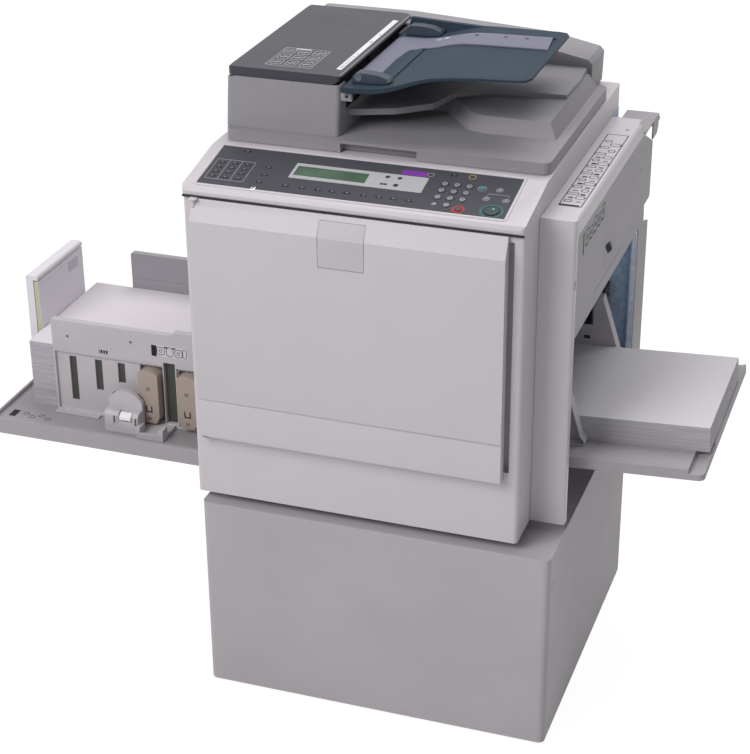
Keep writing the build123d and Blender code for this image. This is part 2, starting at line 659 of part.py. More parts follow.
def panel_z(y):
    """Height of the sloping console face at a depth y."""
    return PANEL_FRONT_Z + PANEL_SLOPE * (y - PANEL_FRONT)


def panel_place(x, y):
    """Location on the console face, its z axis standing square to the face."""
    return Pos(x, y, panel_z(y)) * Rot(PANEL_ANGLE, 0, 0)


def key_places():
    """Name, centre and radius of every key that has travel."""
    places = [
        ("start_key", START_AT, START_RADIUS),
        ("stop_key", STOP_AT, STOP_RADIUS),
        ("clear_key", CLEAR_AT, KEY_RADIUS),
    ]
    for digit in range(1, 10):
        row, column = divmod(digit - 1, 3)
        centre = (KEY_FIRST[0] + column * KEY_PITCH, KEY_FIRST[1] - row * KEY_PITCH * ROW_SCALE)
        places.append((f"digit_key_{digit}", centre, KEY_RADIUS))
    zero_y = KEY_FIRST[1] - 3 * KEY_PITCH * ROW_SCALE
    places.append(("digit_key_0", (KEY_FIRST[0] + KEY_PITCH, zero_y), KEY_RADIUS))
    return places


def key_pockets():
    """The x and y spans of the wells under the film that hold the switches."""
    pad = KEY_RADIUS + 2.0
    digits = [centre for name, centre, _ in key_places() if name.startswith("digit")]
    x = [centre[0] for centre in digits]
    y = [centre[1] for centre in digits]
    rim = START_RADIUS + 2.0
    stop_rim = 9.5
    return (
        ((min(x) - pad, max(x) + pad), (min(y) - pad, max(y) + pad)),
        ((START_AT[0] - rim, START_AT[0] + rim), (START_AT[1] - rim, START_AT[1] + rim)),
        ((STOP_AT[0] - stop_rim, STOP_AT[0] + stop_rim), (STOP_AT[1] - stop_rim, STOP_AT[1] + stop_rim)),
        ((CLEAR_AT[0] - pad, CLEAR_AT[0] + pad), (CLEAR_AT[1] - pad, CLEAR_AT[1] + pad)),
    )


def key(centre, radius):
    """A round key with a bevelled crown that drops into the console."""
    stem = Pos(0, 0, -KEY_SINK) * extrude(RegularPolygon(radius, ROUND_SIDES), amount=KEY_SINK + KEY_RISE)
    crown = stem.faces().sort_by(Axis.Z)[-1].edges()
    return panel_place(*centre) * chamfer(crown, KEY_BEVEL)


def console_housing():
    """Console moulding: front band, sloping face with a seat for the film, raised ends."""
    profile = [
        (BODY_FRONT - 2, BODY_TOP + 0.5),
        (BODY_FRONT - 5, BODY_TOP + 4),
        (BODY_FRONT - 6, PANEL_FRONT_Z - 10),
        (BODY_FRONT - 2, PANEL_FRONT_Z - 4),
        (PANEL_FRONT - 4, panel_z(PANEL_FRONT - 4)),
        (PANEL_BACK + 3, panel_z(PANEL_BACK + 3)),
        (SCANNER_FRONT, SCANNER_TOP),
        (SCANNER_FRONT, BODY_TOP + 0.5),
    ]
    plan = block((BODY_LEFT, BODY_RIGHT), (BODY_FRONT - 6, SCANNER_FRONT), (BODY_TOP, SCANNER_TOP))
    plan = round_edges(plan, Axis.Z, 10.0, lambda c: c.Y < BODY_FRONT)
    housing = along_x(profile, BODY_LEFT, BODY_RIGHT) & plan
    slope_length = math.hypot(PANEL_BACK - PANEL_FRONT, panel_z(PANEL_BACK) - PANEL_FRONT_Z)
    middle = ((PANEL_LEFT + PANEL_RIGHT) / 2, (PANEL_FRONT + PANEL_BACK) / 2)
    seat = Pos(0, 0, 2.5 - PANEL_FILM) * Box(PANEL_RIGHT - PANEL_LEFT, slope_length, 5)
    housing -= panel_place(*middle) * seat
    for x_span, y_span in key_pockets():
        centre = (sum(x_span) / 2, sum(y_span) / 2)
        size = (x_span[1] - x_span[0], y_span[1] - y_span[0], 2 * POCKET_DEPTH)
        housing -= panel_place(*centre) * Box(*size)
    display = ((DISPLAY_LEFT + DISPLAY_RIGHT) / 2, (DISPLAY_FRONT + DISPLAY_BACK) / 2)
    cavity = Box(DISPLAY_RIGHT - DISPLAY_LEFT, DISPLAY_BACK - DISPLAY_FRONT, 6)
    housing -= panel_place(*display) * Pos(0, 0, -3) * cavity
    return housing


def console_panel():
    """Printed film panel with holes for the keys and a display window."""
    slope_length = math.hypot(PANEL_BACK - PANEL_FRONT, panel_z(PANEL_BACK) - PANEL_FRONT_Z)
    middle = ((PANEL_LEFT + PANEL_RIGHT) / 2, (PANEL_FRONT + PANEL_BACK) / 2)
    film = Pos(0, 0, -PANEL_FILM / 2) * Box(PANEL_RIGHT - PANEL_LEFT - 0.4, slope_length - 0.4, PANEL_FILM)
    panel = panel_place(*middle) * film
    for _, centre, radius in key_places():
        hole = extrude(RegularPolygon(radius + KEY_GAP, ROUND_SIDES), amount=PANEL_FILM, both=True)
        panel -= panel_place(*centre) * hole
    display = ((DISPLAY_LEFT + DISPLAY_RIGHT) / 2, (DISPLAY_FRONT + DISPLAY_BACK) / 2)
    panel -= panel_place(*display) * Box(DISPLAY_RIGHT - DISPLAY_LEFT, DISPLAY_BACK - DISPLAY_FRONT, 4)
    return panel


def display_window():
    """Liquid crystal display behind its window."""
    centre = ((DISPLAY_LEFT + DISPLAY_RIGHT) / 2, (DISPLAY_FRONT + DISPLAY_BACK) / 2)
    size = (DISPLAY_RIGHT - DISPLAY_LEFT - 0.6, DISPLAY_BACK - DISPLAY_FRONT - 0.6)
    return panel_place(*centre) * Pos(0, 0, -3.4) * Box(size[0], size[1], 5.2)


# Platen cover and document feeder

def exit_terrace():
    """Sculpted exit tray on the cover: a draughted terrace with a swept front edge."""
    floor = COVER_TOP
    rise = 27.0
    left = ADF_RIGHT + 0.5
    back = REAR_BOX_FRONT + 2
    wall_y = STAND_FRONT + 352.0
    front_y = STAND_FRONT + 283.0
    right = STAND_RIGHT - 85.0
    sweep = [
        (left, wall_y),
        (STAND_RIGHT - 312.0, STAND_FRONT + 374.0),
        (STAND_RIGHT - 289.0, STAND_FRONT + 350.0),
        (STAND_RIGHT - 258.0, STAND_FRONT + 306.0),
        (STAND_RIGHT - 240.0, STAND_FRONT + 290.0),
        (STAND_RIGHT - 214.0, front_y),
    ]
    outline = Polyline(*sweep, (right, front_y), (right, back), (left, back), close=True)
    terrace = extrude(Plane.XY.offset(floor) * make_face(outline), amount=rise, taper=28)
    ridge = [
        (left, STAND_FRONT + 235),
        (STAND_RIGHT - 367, STAND_FRONT + 265),
        (STAND_RIGHT - 314, STAND_FRONT + 310),
        (STAND_RIGHT - 297, STAND_FRONT + 373),
        (STAND_RIGHT - 235, STAND_FRONT + 416),
        (STAND_RIGHT - 103, STAND_FRONT + 425.5),
        (STAND_RIGHT - 101, STAND_FRONT + 515),
        (STAND_RIGHT - 105, back),
        (left, back),
    ]
    return terrace + along_z(ridge, floor + rise - 3, floor + rise + 8)


def platen_cover():
    """Platen cover: rounded slab, hand notch, exit tray and the box over the hinges."""
    slab = block((COVER_LEFT, COVER_RIGHT), (COVER_FRONT, COVER_BACK), (COVER_BOTTOM, COVER_TOP))
    slab = round_edges(slab, Axis.Z, 14.0)
    profile = [
        (COVER_LEFT + 2, COVER_BOTTOM + 5),
        (STAND_RIGHT - 98, COVER_BOTTOM + 5),
        (STAND_RIGHT - 96, STAND_TOP + 702),
        (STAND_RIGHT - 104, STAND_TOP + 711),
        (STAND_RIGHT - 200, STAND_TOP + 730),
        (STAND_RIGHT - 470, STAND_TOP + 746),
        (COVER_LEFT + 2, STAND_TOP + 746),
    ]
    box = along_y(profile, REAR_BOX_FRONT, REAR_BOX_BACK)
    box = cut_edges(box, Axis.Z, 4.0)
    wall = 3.0
    box -= along_y(
        [
            (COVER_LEFT + 2 + wall, COVER_BOTTOM),
            (STAND_RIGHT - 98 - wall, COVER_BOTTOM),
            (STAND_RIGHT - 98 - wall, STAND_TOP + 706),
            (STAND_RIGHT - 200, STAND_TOP + 727),
            (STAND_RIGHT - 470, STAND_TOP + 743),
            (COVER_LEFT + 2 + wall, STAND_TOP + 743),
        ],
        REAR_BOX_FRONT + wall,
        REAR_BOX_BACK - wall,
    )
    terrace = exit_terrace()
    keep_x = (ADF_RIGHT + 0.5, COVER_RIGHT)
    keep = block(keep_x, (COVER_FRONT, REAR_BOX_FRONT + 5), (COVER_TOP - 6, COVER_TOP + 60))
    cover = slab + box + (terrace & keep)
    void_y = (COVER_FRONT + 24, COVER_BACK - 16)
    cover -= block((COVER_LEFT + 6, COVER_RIGHT - 6), void_y, (COVER_BOTTOM + wall, COVER_TOP - wall))
    terrace_void = ((ADF_RIGHT + 8, STAND_RIGHT - 112), (PAPER_Y + 43, COVER_BACK - 16))
    cover -= block(*terrace_void, (COVER_BOTTOM + 12, COVER_TOP + 22))
    notch = block(
        (STAND_RIGHT - 438.0, STAND_RIGHT - 300.0),
        (COVER_FRONT - 1, COVER_FRONT + 17),
        (COVER_BOTTOM - 1, COVER_BOTTOM + 16),
    )
    cover -= notch
    hinge_y, hinge_z = COVER_HINGE
    for hinge_x in HINGE_X:
        cover -= block(
            (hinge_x - 18.5, hinge_x + 18.5),
            (hinge_y - 14, REAR_BOX_BACK + 1),
            (COVER_BOTTOM - 1, hinge_z + 14),
        )
        knuckle = along_x(hinge_ear(hinge_z - 6), hinge_x - 10, hinge_x + 10)
        arm = block((hinge_x - 10, hinge_x + 10), (REAR_BOX_FRONT + 1, hinge_y), (hinge_z - 5, hinge_z + 8))
        cover += knuckle + arm
        cover -= rod_x(HINGE_PIN + PIN_GAP, hinge_x - 20, hinge_x + 20, hinge_y, hinge_z)
    return cover


def adf_housing():
    """Feeder casing: leaning front, open on the right for originals to enter and leave."""
    profile = [
        (ADF_FRONT, COVER_TOP),
        (ADF_BACK, COVER_TOP),
        (ADF_BACK, ADF_TOP),
        (ADF_FRONT + ADF_LEAN, ADF_TOP),
    ]
    casing = along_x(profile, ADF_LEFT, ADF_RIGHT)
    leaning = casing.edges().filter_by(lambda e: e.length > 80 and e.center().Y < ADF_FRONT + ADF_LEAN)
    casing = fillet(leaning.filter_by(Axis.X, reverse=True), 8.0)
    wall = 4.0
    casing -= block(
        (ADF_LEFT + wall, ADF_RIGHT - wall),
        (ADF_FRONT + ADF_LEAN + wall, ADF_BACK - wall - 8),
        (COVER_TOP + 30, ADF_TOP + 1),
    )
    swing = (ADF_FRONT - 1, ADF_BACK + 1)
    casing -= block((ADF_LEFT - 1, ADF_LEFT + 12), swing, (ADF_TOP - 2.5, ADF_TOP + 1))
    mouth = ((ADF_RIGHT - wall - 1, ADF_RIGHT + 1), (TRAY_FRONT - 2, TRAY_BACK + 2))
    casing -= block(*mouth, (STAND_TOP + 742, ADF_TOP + 1))
    casing -= block(*mouth, (COVER_TOP + 38, COVER_TOP + 54))
    pin_x, pin_z = TRAY_PIVOT
    for cheek_y in TRAY_CHEEKS:
        cheek = block((ADF_RIGHT, pin_x + 9), (cheek_y, cheek_y + 8), (pin_z - 8, pin_z + 6))
        casing += cheek - rod_y(PIN_RADIUS + PIN_GAP, cheek_y - 1, cheek_y + 9, pin_x, pin_z)
    bulge = block((ADF_LEFT - 8, ADF_LEFT), (ADF_FRONT + 70, ADF_BACK - 40), (COVER_TOP + 2, COVER_TOP + 52))
    casing += cut_edges(bulge, Axis.X, 5.0)
    lid_x, lid_z = LID_PIVOT
    for start in LID_POSTS:
        casing += block((lid_x - 2.8, lid_x + 2.8), (start, start + 6), (ADF_TOP - 9, lid_z + 2.6))
        casing += rod_y(LID_PIN, start + 6, start + 18, lid_x, lid_z)
        casing += block((lid_x - 5, lid_x + 14), (start - 1, start + 7), (COVER_TOP + 28, ADF_TOP - 8))
    x, z = ADF_ROLLER
    bore = ADF_SHAFT + SHAFT_GAP
    for seat_y in (ADF_FRONT + 60.0, ADF_BACK - 68.0):
        seat = block((x - 8, x + 8), (seat_y, seat_y + 6), (COVER_TOP + 29, z + 10))
        casing += seat - block((x - bore, x + bore), (seat_y - 1, seat_y + 7), (z - bore, z + bore))
    return casing


def adf_cover():
    """Feeder lid: a thin shell whose right lip stands above the inlet, with two hinge eyes."""
    low = ADF_TOP + 1.0
    section = [
        (ADF_LEFT, low),
        (ADF_RIGHT - 14, low),
        (ADF_RIGHT, low + 7),
        (ADF_RIGHT, LID_TOP - 2),
        (ADF_RIGHT - 20, LID_TOP),
        (ADF_LEFT + 4, LID_TOP),
        (ADF_LEFT, LID_TOP - 4),
    ]
    front = ADF_FRONT + ADF_LEAN + 2.0
    back = ADF_BACK + 8.0
    plan = block((ADF_LEFT, ADF_RIGHT), (front, back), (low, LID_TOP))
    lid = along_y(section, front, back) & cut_edges(plan, Axis.Z, 3.0)
    inner = [
        (ADF_LEFT + 3, low - 1),
        (ADF_RIGHT + 1, low - 1),
        (ADF_RIGHT + 1, LID_TOP - 6),
        (ADF_RIGHT - 20, LID_TOP - 4),
        (ADF_LEFT + 3, LID_TOP - 4),
    ]
    lid -= along_y(inner, front + 4, back - 4)
    pin_x, pin_z = LID_PIVOT
    for post in LID_POSTS:
        lid -= block((ADF_LEFT - 1, pin_x + 4), (post - 0.8, post + 6.6), (low - 1, pin_z + 3.5))
        start = post + 6.6
        web = block((pin_x - 4.5, pin_x + 4.5), (start, start + 8), (pin_z, LID_TOP - 3))
        lid += rod_y(4.5, start, start + 8, pin_x, pin_z) + web
        lid -= rod_y(LID_PIN + PIN_GAP, start - 1, start + 9, pin_x, pin_z)
    return lid


def adf_roller():
    """Pick-up shaft of the feeder with its rubber roller."""
    half = 52.0
    shaft = rod_y(ADF_SHAFT, ADF_FRONT + 54, ADF_BACK - 54, *ADF_ROLLER)
    return shaft + rod_y(14.0, PAPER_Y - half, PAPER_Y + half, *ADF_ROLLER)


def tray_sweep(points, start, end, drop=0.0):
    """Solid along Y from the tray's (distance from its left end, height) points."""
    return along_y([(TRAY_LEFT + x, STAND_TOP + z - drop) for x, z in points], start, end)


def original_tray():
    """Original tray: an S-swept plate, flared towards the feeder, with a rail along its back."""
    length = TRAY_TIP - TRAY_LEFT
    top = [(0, 751), (55, 752), (75, 754.5), (95, 759.5), (115, 766), (135, 771.5), (155, 775), (185, 777)]
    top += [(245, 779), (length, 781)]
    under = [(0, 741), (55, 742.5), (75, 746), (95, 751.5), (115, 758.5), (135, 765), (155, 769)]
    under += [(185, 771.5), (245, 774), (length, 777)]
    front = [(441, 189), (366, 197), (316, 206), (266, 217), (216, 225), (143, 228), (128, 233), (121, 248)]
    back = [(121, 504), (128, 519), (143, 524), (246, 532), (346, 546), (441, 561)]
    plan = [(STAND_RIGHT - x, STAND_FRONT + y) for x, y in front + back]
    heights = (STAND_TOP + 730, STAND_TOP + 790)
    tray = tray_sweep(top + under[::-1], STAND_FRONT + 189, STAND_FRONT + 561) & along_z(plan, *heights)
    dish = tray_sweep(top + [(length, 790), (0, 790)], STAND_FRONT + 240, STAND_FRONT + 484, TRAY_DISH)
    dish &= block((TRAY_LEFT + 70, TRAY_TIP - 14), (STAND_FRONT, REAR_BOX_FRONT), heights)
    tray -= cut_edges(dish, Axis.Z, 8.0)
    rail = [(0, 743), (55, 744), (75, 748), (95, 753.5), (115, 760.5), (135, 767), (155, 771), (185, 773.5)]
    rail += [(185, 775), (8, 775), (2, 751)]
    rail_plan = plan[-3:] + [(x, y - TRAY_RAIL) for x, y in reversed(plan[-3:])]
    tray += tray_sweep(rail, STAND_FRONT + 500, STAND_FRONT + 561) & along_z(rail_plan, *heights)
    pin_x, pin_z = TRAY_PIVOT
    for cheek_y, side in zip(TRAY_CHEEKS, (1, -1)):
        lug = sorted((cheek_y + 4 + side * 5.5, cheek_y + 4 + side * 12))
        tray += block((pin_x - 6, pin_x + 6), lug, (pin_z - 6, STAND_TOP + 743))
        tray += rod_y(PIN_RADIUS, *sorted((cheek_y + 4 - side * 3, cheek_y + 4 + side * 8)), pin_x, pin_z)
    return tray


def original_guide(front):
    """One of the two paper guides on the original tray: a low pod with a domed back."""
    pod = [(9, 752), (55, 752.8), (73, 755), (79, 758), (75, 763), (59, 768.5), (37, 770.5)]
    pod += [(19, 770), (11, 764)]
    depth = 22.0
    start = STAND_FRONT + 217 if front else STAND_FRONT + 535 - depth
    return along_y([(TRAY_LEFT + x, STAND_TOP + z) for x, z in pod], start, start + depth)


# Feed table

def on_feed_table(part):
    """Tilt a part with the feed table, whose outer end stands a little higher."""
    x, z = BODY_RIGHT, FEED_TABLE_TOP
    return Pos(x, 0, z) * Rot(0, -FEED_TABLE_TILT, 0) * Pos(-x, 0, -z) * part


def feed_table():
    """Elevating table: ribbed tray, narrow tongue in the body, stepped outer end."""
    low = FEED_TABLE_TOP - 21.0
    bay_left = BODY_RIGHT + 4.0
    tongue = ((FEED_STACK_END - PAPER_LENGTH - 4, bay_left), (PAPER_FRONT - 12, PAPER_BACK + 12))
    depth = (FEED_TABLE_FRONT, FEED_TABLE_BACK)
    table = block((bay_left, FEED_TABLE_STEP), depth, (low, FEED_TABLE_TOP))
    end = block((FEED_TABLE_STEP, FEED_TABLE_END), depth, (low, FEED_TABLE_TOP - 9))
    table += round_edges(end, Axis.Z, 12.0, lambda c: c.X > FEED_TABLE_END - 1)
    lip = [
        (FEED_TABLE_FRONT + 110, FEED_TABLE_TOP - 9),
        (FEED_TABLE_BACK - 12, FEED_TABLE_TOP - 9),
        (FEED_TABLE_BACK - 14, FEED_TABLE_TOP - 0.5),
        (FEED_TABLE_FRONT + 116, FEED_TABLE_TOP - 0.5),
    ]
    table += along_x(lip, FEED_TABLE_END - 5.5, FEED_TABLE_END)
    wall = 3.0
    table -= block(
        (bay_left + wall, FEED_TABLE_STEP - wall),
        (FEED_TABLE_FRONT + wall, FEED_TABLE_BACK - wall),
        (low - 1, FEED_TABLE_TOP - wall),
    )
    for rib in range(1, 5):
        rib_y = FEED_TABLE_FRONT + rib * (FEED_TABLE_BACK - FEED_TABLE_FRONT) / 5
        rib_span = (rib_y - wall / 2, rib_y + wall / 2)
        table += block((bay_left + wall, FEED_TABLE_STEP - wall), rib_span, (low, FEED_TABLE_TOP - wall))
    return on_feed_table(table + block(*tongue, (low + 8, FEED_TABLE_TOP)))


def feed_paper_stack():
    """Ream of A3 sheets on the feed table."""
    return on_feed_table(block(
        (FEED_STACK_END - PAPER_LENGTH, FEED_STACK_END),
        (PAPER_FRONT, PAPER_BACK),
        (FEED_TABLE_TOP, FEED_TABLE_TOP + FEED_STACK_HEIGHT),
    ))


def feed_pad(front):
    """Side pad of the feed table: a tapered plate with a deep rim, and a low plate inwards."""
    taper = [(70, 0.4), (71, 9), (64, 18), (31, 148), (12, 148)]
    plate = [(-68, 0.4), *taper, (12, 90), (-62, 90), (-68, 84)]
    rim = [(12, 0.4), *taper]
    hollow = [(15, 3.4), (67, 3.4), (68, 9), (61.4, 17), (29, 145), (15, 145)]
    side = -1 if front else 1
    inner = (PAPER_FRONT - PLATE_GAP) if front else (PAPER_BACK + PLATE_GAP)
    depths = ((0, 2.5), (2, FEED_PAD_DEPTH))
    spans = [sorted((inner + side * start, inner + side * end)) for start, end in depths]
    outlines = [[(BODY_RIGHT + x, FEED_TABLE_TOP + z) for x, z in points] for points in (plate, rim, hollow)]
    pad = along_y(outlines[1], *spans[1]) - along_y(outlines[2], spans[1][0] - 1, spans[1][1] + 1)
    pad += along_y(outlines[0], *spans[0])
    hole_z = FEED_TABLE_TOP + 60
    through = (spans[0][0] - 1, spans[0][1] + 1)
    return on_feed_table(pad - block((BODY_RIGHT - 8, BODY_RIGHT + 4), through, (hole_z, hole_z + 7)))


# Delivery table

def delivery_table():
    """Delivery table: shallow tray with a rim, hollow and ribbed underneath."""
    right = BODY_LEFT - 1.0
    table = block((TABLE_END, right), (TABLE_FRONT, TABLE_BACK), (TABLE_BOTTOM, TABLE_RIM))
    table = round_edges(table, Axis.Z, 8.0, lambda c: c.X < TABLE_END + 1)
    rim = 9.0
    floor_y = (TABLE_FRONT + rim, TABLE_BACK - rim)
    table -= block((TABLE_END + rim / 2, right + 1), floor_y, (TABLE_FLOOR, TABLE_RIM + 1))
    wall = 3.0
    table -= block(
        (TABLE_END + wall, right - wall),
        (TABLE_FRONT + wall, TABLE_BACK - wall),
        (TABLE_BOTTOM - 1, TABLE_FLOOR - wall),
    )
    for rib in range(1, 5):
        rib_y = TABLE_FRONT + rib * (TABLE_BACK - TABLE_FRONT) / 5
        rib_span = (rib_y - wall / 2, rib_y + wall / 2)
        table += block((TABLE_END + wall, right - wall), rib_span, (TABLE_BOTTOM, TABLE_FLOOR - wall))
    return table


def plate_outline():
    """Side plate seen from the front: a stepped top edge and a notched lower left corner."""
    foot = TABLE_FLOOR + 0.4
    return [
        (PLATE_LEFT, foot),
        (PLATE_RIGHT, foot),
        (PLATE_RIGHT, PLATE_STEP_TOP),
        (PLATE_STEP_X + 6, PLATE_STEP_TOP),
        (PLATE_STEP_X, PLATE_TOP),
        (PLATE_LEFT, PLATE_TOP),
    ]


def delivery_plate_front():
    """Front side plate: upper band, three slots, wing windows, grip base and clip."""
    inner = PAPER_FRONT - PLATE_GAP
    face = inner - PLATE_DEPTH
    floor = TABLE_FLOOR
    through = (face - 1, inner + 1)
    plate = along_y(plate_outline(), face, inner)
    bays = ((PLATE_LEFT + 4, WING_LEFTS[0] + WING_WIDTH + 5), (WING_LEFTS[1] - 4, PLATE_RIGHT - 3))
    for low, high in bays:
        plate -= block((low, high), (face - 1, face + PLATE_RECESS), (floor + 6, PLATE_BAND))
    for slot_x, slot_bottom in PLATE_SLOTS:
        span = (STAND_RIGHT + slot_x, STAND_RIGHT + slot_x + 15)
        plate -= block(span, through, (STAND_TOP + slot_bottom, PLATE_BAND - 9))
    for wing_x in WING_LEFTS:
        window = (wing_x - WING_GAP, wing_x + WING_WIDTH + WING_GAP)
        plate -= block(window, through, (WING_BOTTOM - WING_GAP, WING_TOP + WING_GAP))
    plate -= block((WING_LEFTS[1] - 31, WING_LEFTS[1] - 7), through, (floor + 9, STAND_TOP + 157))
    grille_x = STAND_RIGHT - 958.0
    plate -= block((grille_x, grille_x + 20), (face - 1, face + 4), (PLATE_BAND + 8, PLATE_BAND + 16))
    grip_outline = make_face([
        Polyline((-GRIP_HALF, 60), (-GRIP_HALF, 0.4), (GRIP_HALF, 0.4), (GRIP_HALF, 60)),
        ThreePointArc((GRIP_HALF, 60), (0, 80), (-GRIP_HALF, 60)),
    ])
    shield_back = face - 18
    shield = extrude(Plane.XZ.offset(-shield_back) * (Pos(GRIP_X, floor) * grip_outline), amount=10)
    plate += block((GRIP_X - GRIP_HALF, WING_LEFTS[0] - 12), (shield_back, face), (floor + 0.4, floor + 60))
    base_x = (GRIP_X - GRIP_HALF, GRIP_X + GRIP_HALF)
    base = block(base_x, (face - 50, shield_back), (floor + 0.4, floor + 44))
    edge = base.edges().filter_by(Axis.X).sort_by(Axis.Z)[-2:].sort_by(Axis.Y)[0]
    base = chamfer(edge, 6.0)
    plate += base + shield
    plate -= block((LEVER_X - 14, LEVER_X + 14), (face - 52, face - 34), (floor + 26, floor + 50))
    clip_x = (WING_LEFTS[0] + 12.0, WING_LEFTS[0] + 69.0)
    plate += block(clip_x, (face - 60, face + 2), (floor + 0.4, floor + 7))
    plate += block(clip_x, (face - 60, face - 56), (floor + 0.4, floor + 13))
    for side_x in (clip_x[0], clip_x[1] - 9):
        plate += block((side_x, side_x + 9), (face - 60, face - 38), (floor + 4, floor + 24))
    return plate + block((PLATE_LEFT, PLATE_LEFT + 95), (face - 12, face), (floor + 0.4, floor + 4))


def delivery_plate_rear():
    """Rear side plate: a folded plate with one pressed groove."""
    inner = PAPER_BACK + PLATE_GAP
    left = STAND_RIGHT - 1035.0
    outline = [
        (left, TABLE_FLOOR + 0.4),
        (PLATE_RIGHT, TABLE_FLOOR + 0.4),
        (PLATE_RIGHT, STAND_TOP + 231),
        (left + 3, STAND_TOP + 231),
        (left, STAND_TOP + 228),
    ]
    plate = along_y(outline, inner, inner + PLATE_DEPTH)
    plate -= block((left - 1, PLATE_RIGHT + 1), (inner - 1, inner + 1.2), (STAND_TOP + 172, STAND_TOP + 175))
    hollow_y = (inner + 4, inner + PLATE_DEPTH + 1)
    return plate - block((left + 4, PLATE_RIGHT - 4), hollow_y, (TABLE_FLOOR + 6, STAND_TOP + 225))


def delivery_wing(left):
    """Paper wing through the front side plate: arched above, chamfered below."""
    inner = PAPER_FRONT - PLATE_GAP - 0.8
    front = PAPER_FRONT - PLATE_GAP - PLATE_DEPTH - 15.0
    right = left + WING_WIDTH
    outline = [
        (left, WING_TOP - 8),
        (left, WING_BOTTOM + 16),
        (left + 8, WING_BOTTOM),
        (right - 8, WING_BOTTOM),
        (right, WING_BOTTOM + 16),
        (right, WING_TOP - 8),
        (right - 5, WING_TOP - 4),
        (right - 14, WING_TOP),
        (left + 14, WING_TOP),
        (left + 5, WING_TOP - 4),
    ]
    wing = along_y(outline, front, inner)
    return chamfer([edge for edge in wing.edges() if edge.center().Y < front + 0.1], 1.5)


def plate_lever():
    """Release lever in the grip of the front side plate."""
    face = PAPER_FRONT - PLATE_GAP - PLATE_DEPTH
    low = TABLE_FLOOR + 28.0
    profile = [
        (face - 52, low + 2),
        (face - 48, low),
        (face - 38, low + 8),
        (face - 37, low + 14),
        (face - 43, low + 15),
        (face - 51, low + 9),
    ]
    return along_x(profile, LEVER_X - 12, LEVER_X + 12)


def delivery_end_plate():
    """End fence: a capped shell that holds the foam and its facing panel."""
    inner = DELIVERY_LEFT - PLATE_GAP
    outer = inner - 26.0
    low = TABLE_FLOOR + 0.4
    section = [
        (outer, low),
        (inner - 10, low),
        (inner - 10, FENCE_TOP - 10),
        (inner, FENCE_TOP - 10),
        (inner, FENCE_TOP - 3),
        (inner - 3, FENCE_TOP),
        (outer + 3, FENCE_TOP),
        (outer, FENCE_TOP - 3),
    ]
    fence = along_y(section, FENCE_FRONT, FENCE_BACK)
    panel = block((inner - 1.5, inner), (FENCE_FRONT + 1, FENCE_BACK - 1), (TABLE_FLOOR + 3, FENCE_TOP - 12))
    foot = block((outer, inner), (FENCE_FRONT, FENCE_BACK), (low, TABLE_FLOOR + 3))
    return fence + panel + foot


def end_plate_cushion():
    """Foam behind the facing panel that takes the blow of arriving sheets."""
    inner = DELIVERY_LEFT - PLATE_GAP
    cushion_y = (FENCE_FRONT + 1, FENCE_BACK - 1)
    return block((inner - 10, inner - 1.5), cushion_y, (TABLE_FLOOR + 3, FENCE_TOP - 12))


def delivery_paper_stack():
    """Delivered A3 sheets on the table."""
    return block(
        (DELIVERY_LEFT, DELIVERY_LEFT + PAPER_LENGTH),
        (PAPER_FRONT, PAPER_BACK),
        (TABLE_FLOOR, DELIVERY_STACK_TOP),
    )


# Works

def drum_gear():
    """Toothed ring on the back of the drum, its teeth trapezoids on the pitch circle."""
    pitch_radius = GEAR_MODULE * GEAR_TEETH / 2
    root = pitch_radius - 1.25 * GEAR_MODULE
    tip = pitch_radius + GEAR_MODULE
    step = 2 * math.pi / GEAR_TEETH
    shape = ((-0.27, root), (-0.14, tip), (0.14, tip), (0.27, root))
    outline = []
    for tooth in range(GEAR_TEETH):
        for share, radius in shape:
            angle = (tooth + share) * step
            outline.append((radius * math.cos(angle), radius * math.sin(angle)))
    face = make_face(Polyline(*outline, close=True))
    width = 10.0
    start = DRUM_BACK + 14.0
    return extrude(Plane.XZ.offset(-(start + width)) * (Pos(DRUM_X, DRUM_Z) * face), amount=width)


def print_drum():
    """Ink drum: thin cylinder with end flanges, open in front, master clamp, gear and back shaft."""
    wall = 3.0
    flange = 8.0
    shell = rod_y(DRUM_RADIUS, DRUM_FRONT, DRUM_BACK, DRUM_X, DRUM_Z)
    shell -= prism_y(DRUM_RADIUS - wall, DRUM_SIDES, DRUM_FRONT + flange, DRUM_BACK - flange, DRUM_X, DRUM_Z)
    shell -= prism_y(48.0, DRUM_SIDES, DRUM_FRONT - 1, DRUM_FRONT + flange + 1, DRUM_X, DRUM_Z)
    clamp = block((-14, 14), (DRUM_FRONT, DRUM_BACK), (DRUM_RADIUS - 4, DRUM_RADIUS + 0.8))
    shell += Pos(DRUM_X, 0, DRUM_Z) * clamp
    hub = rod_y(DRUM_HUB, DRUM_BACK - 4, FRAME_BACK + FRAME_SHEET + 6, DRUM_X, DRUM_Z)
    return shell + hub + drum_gear()


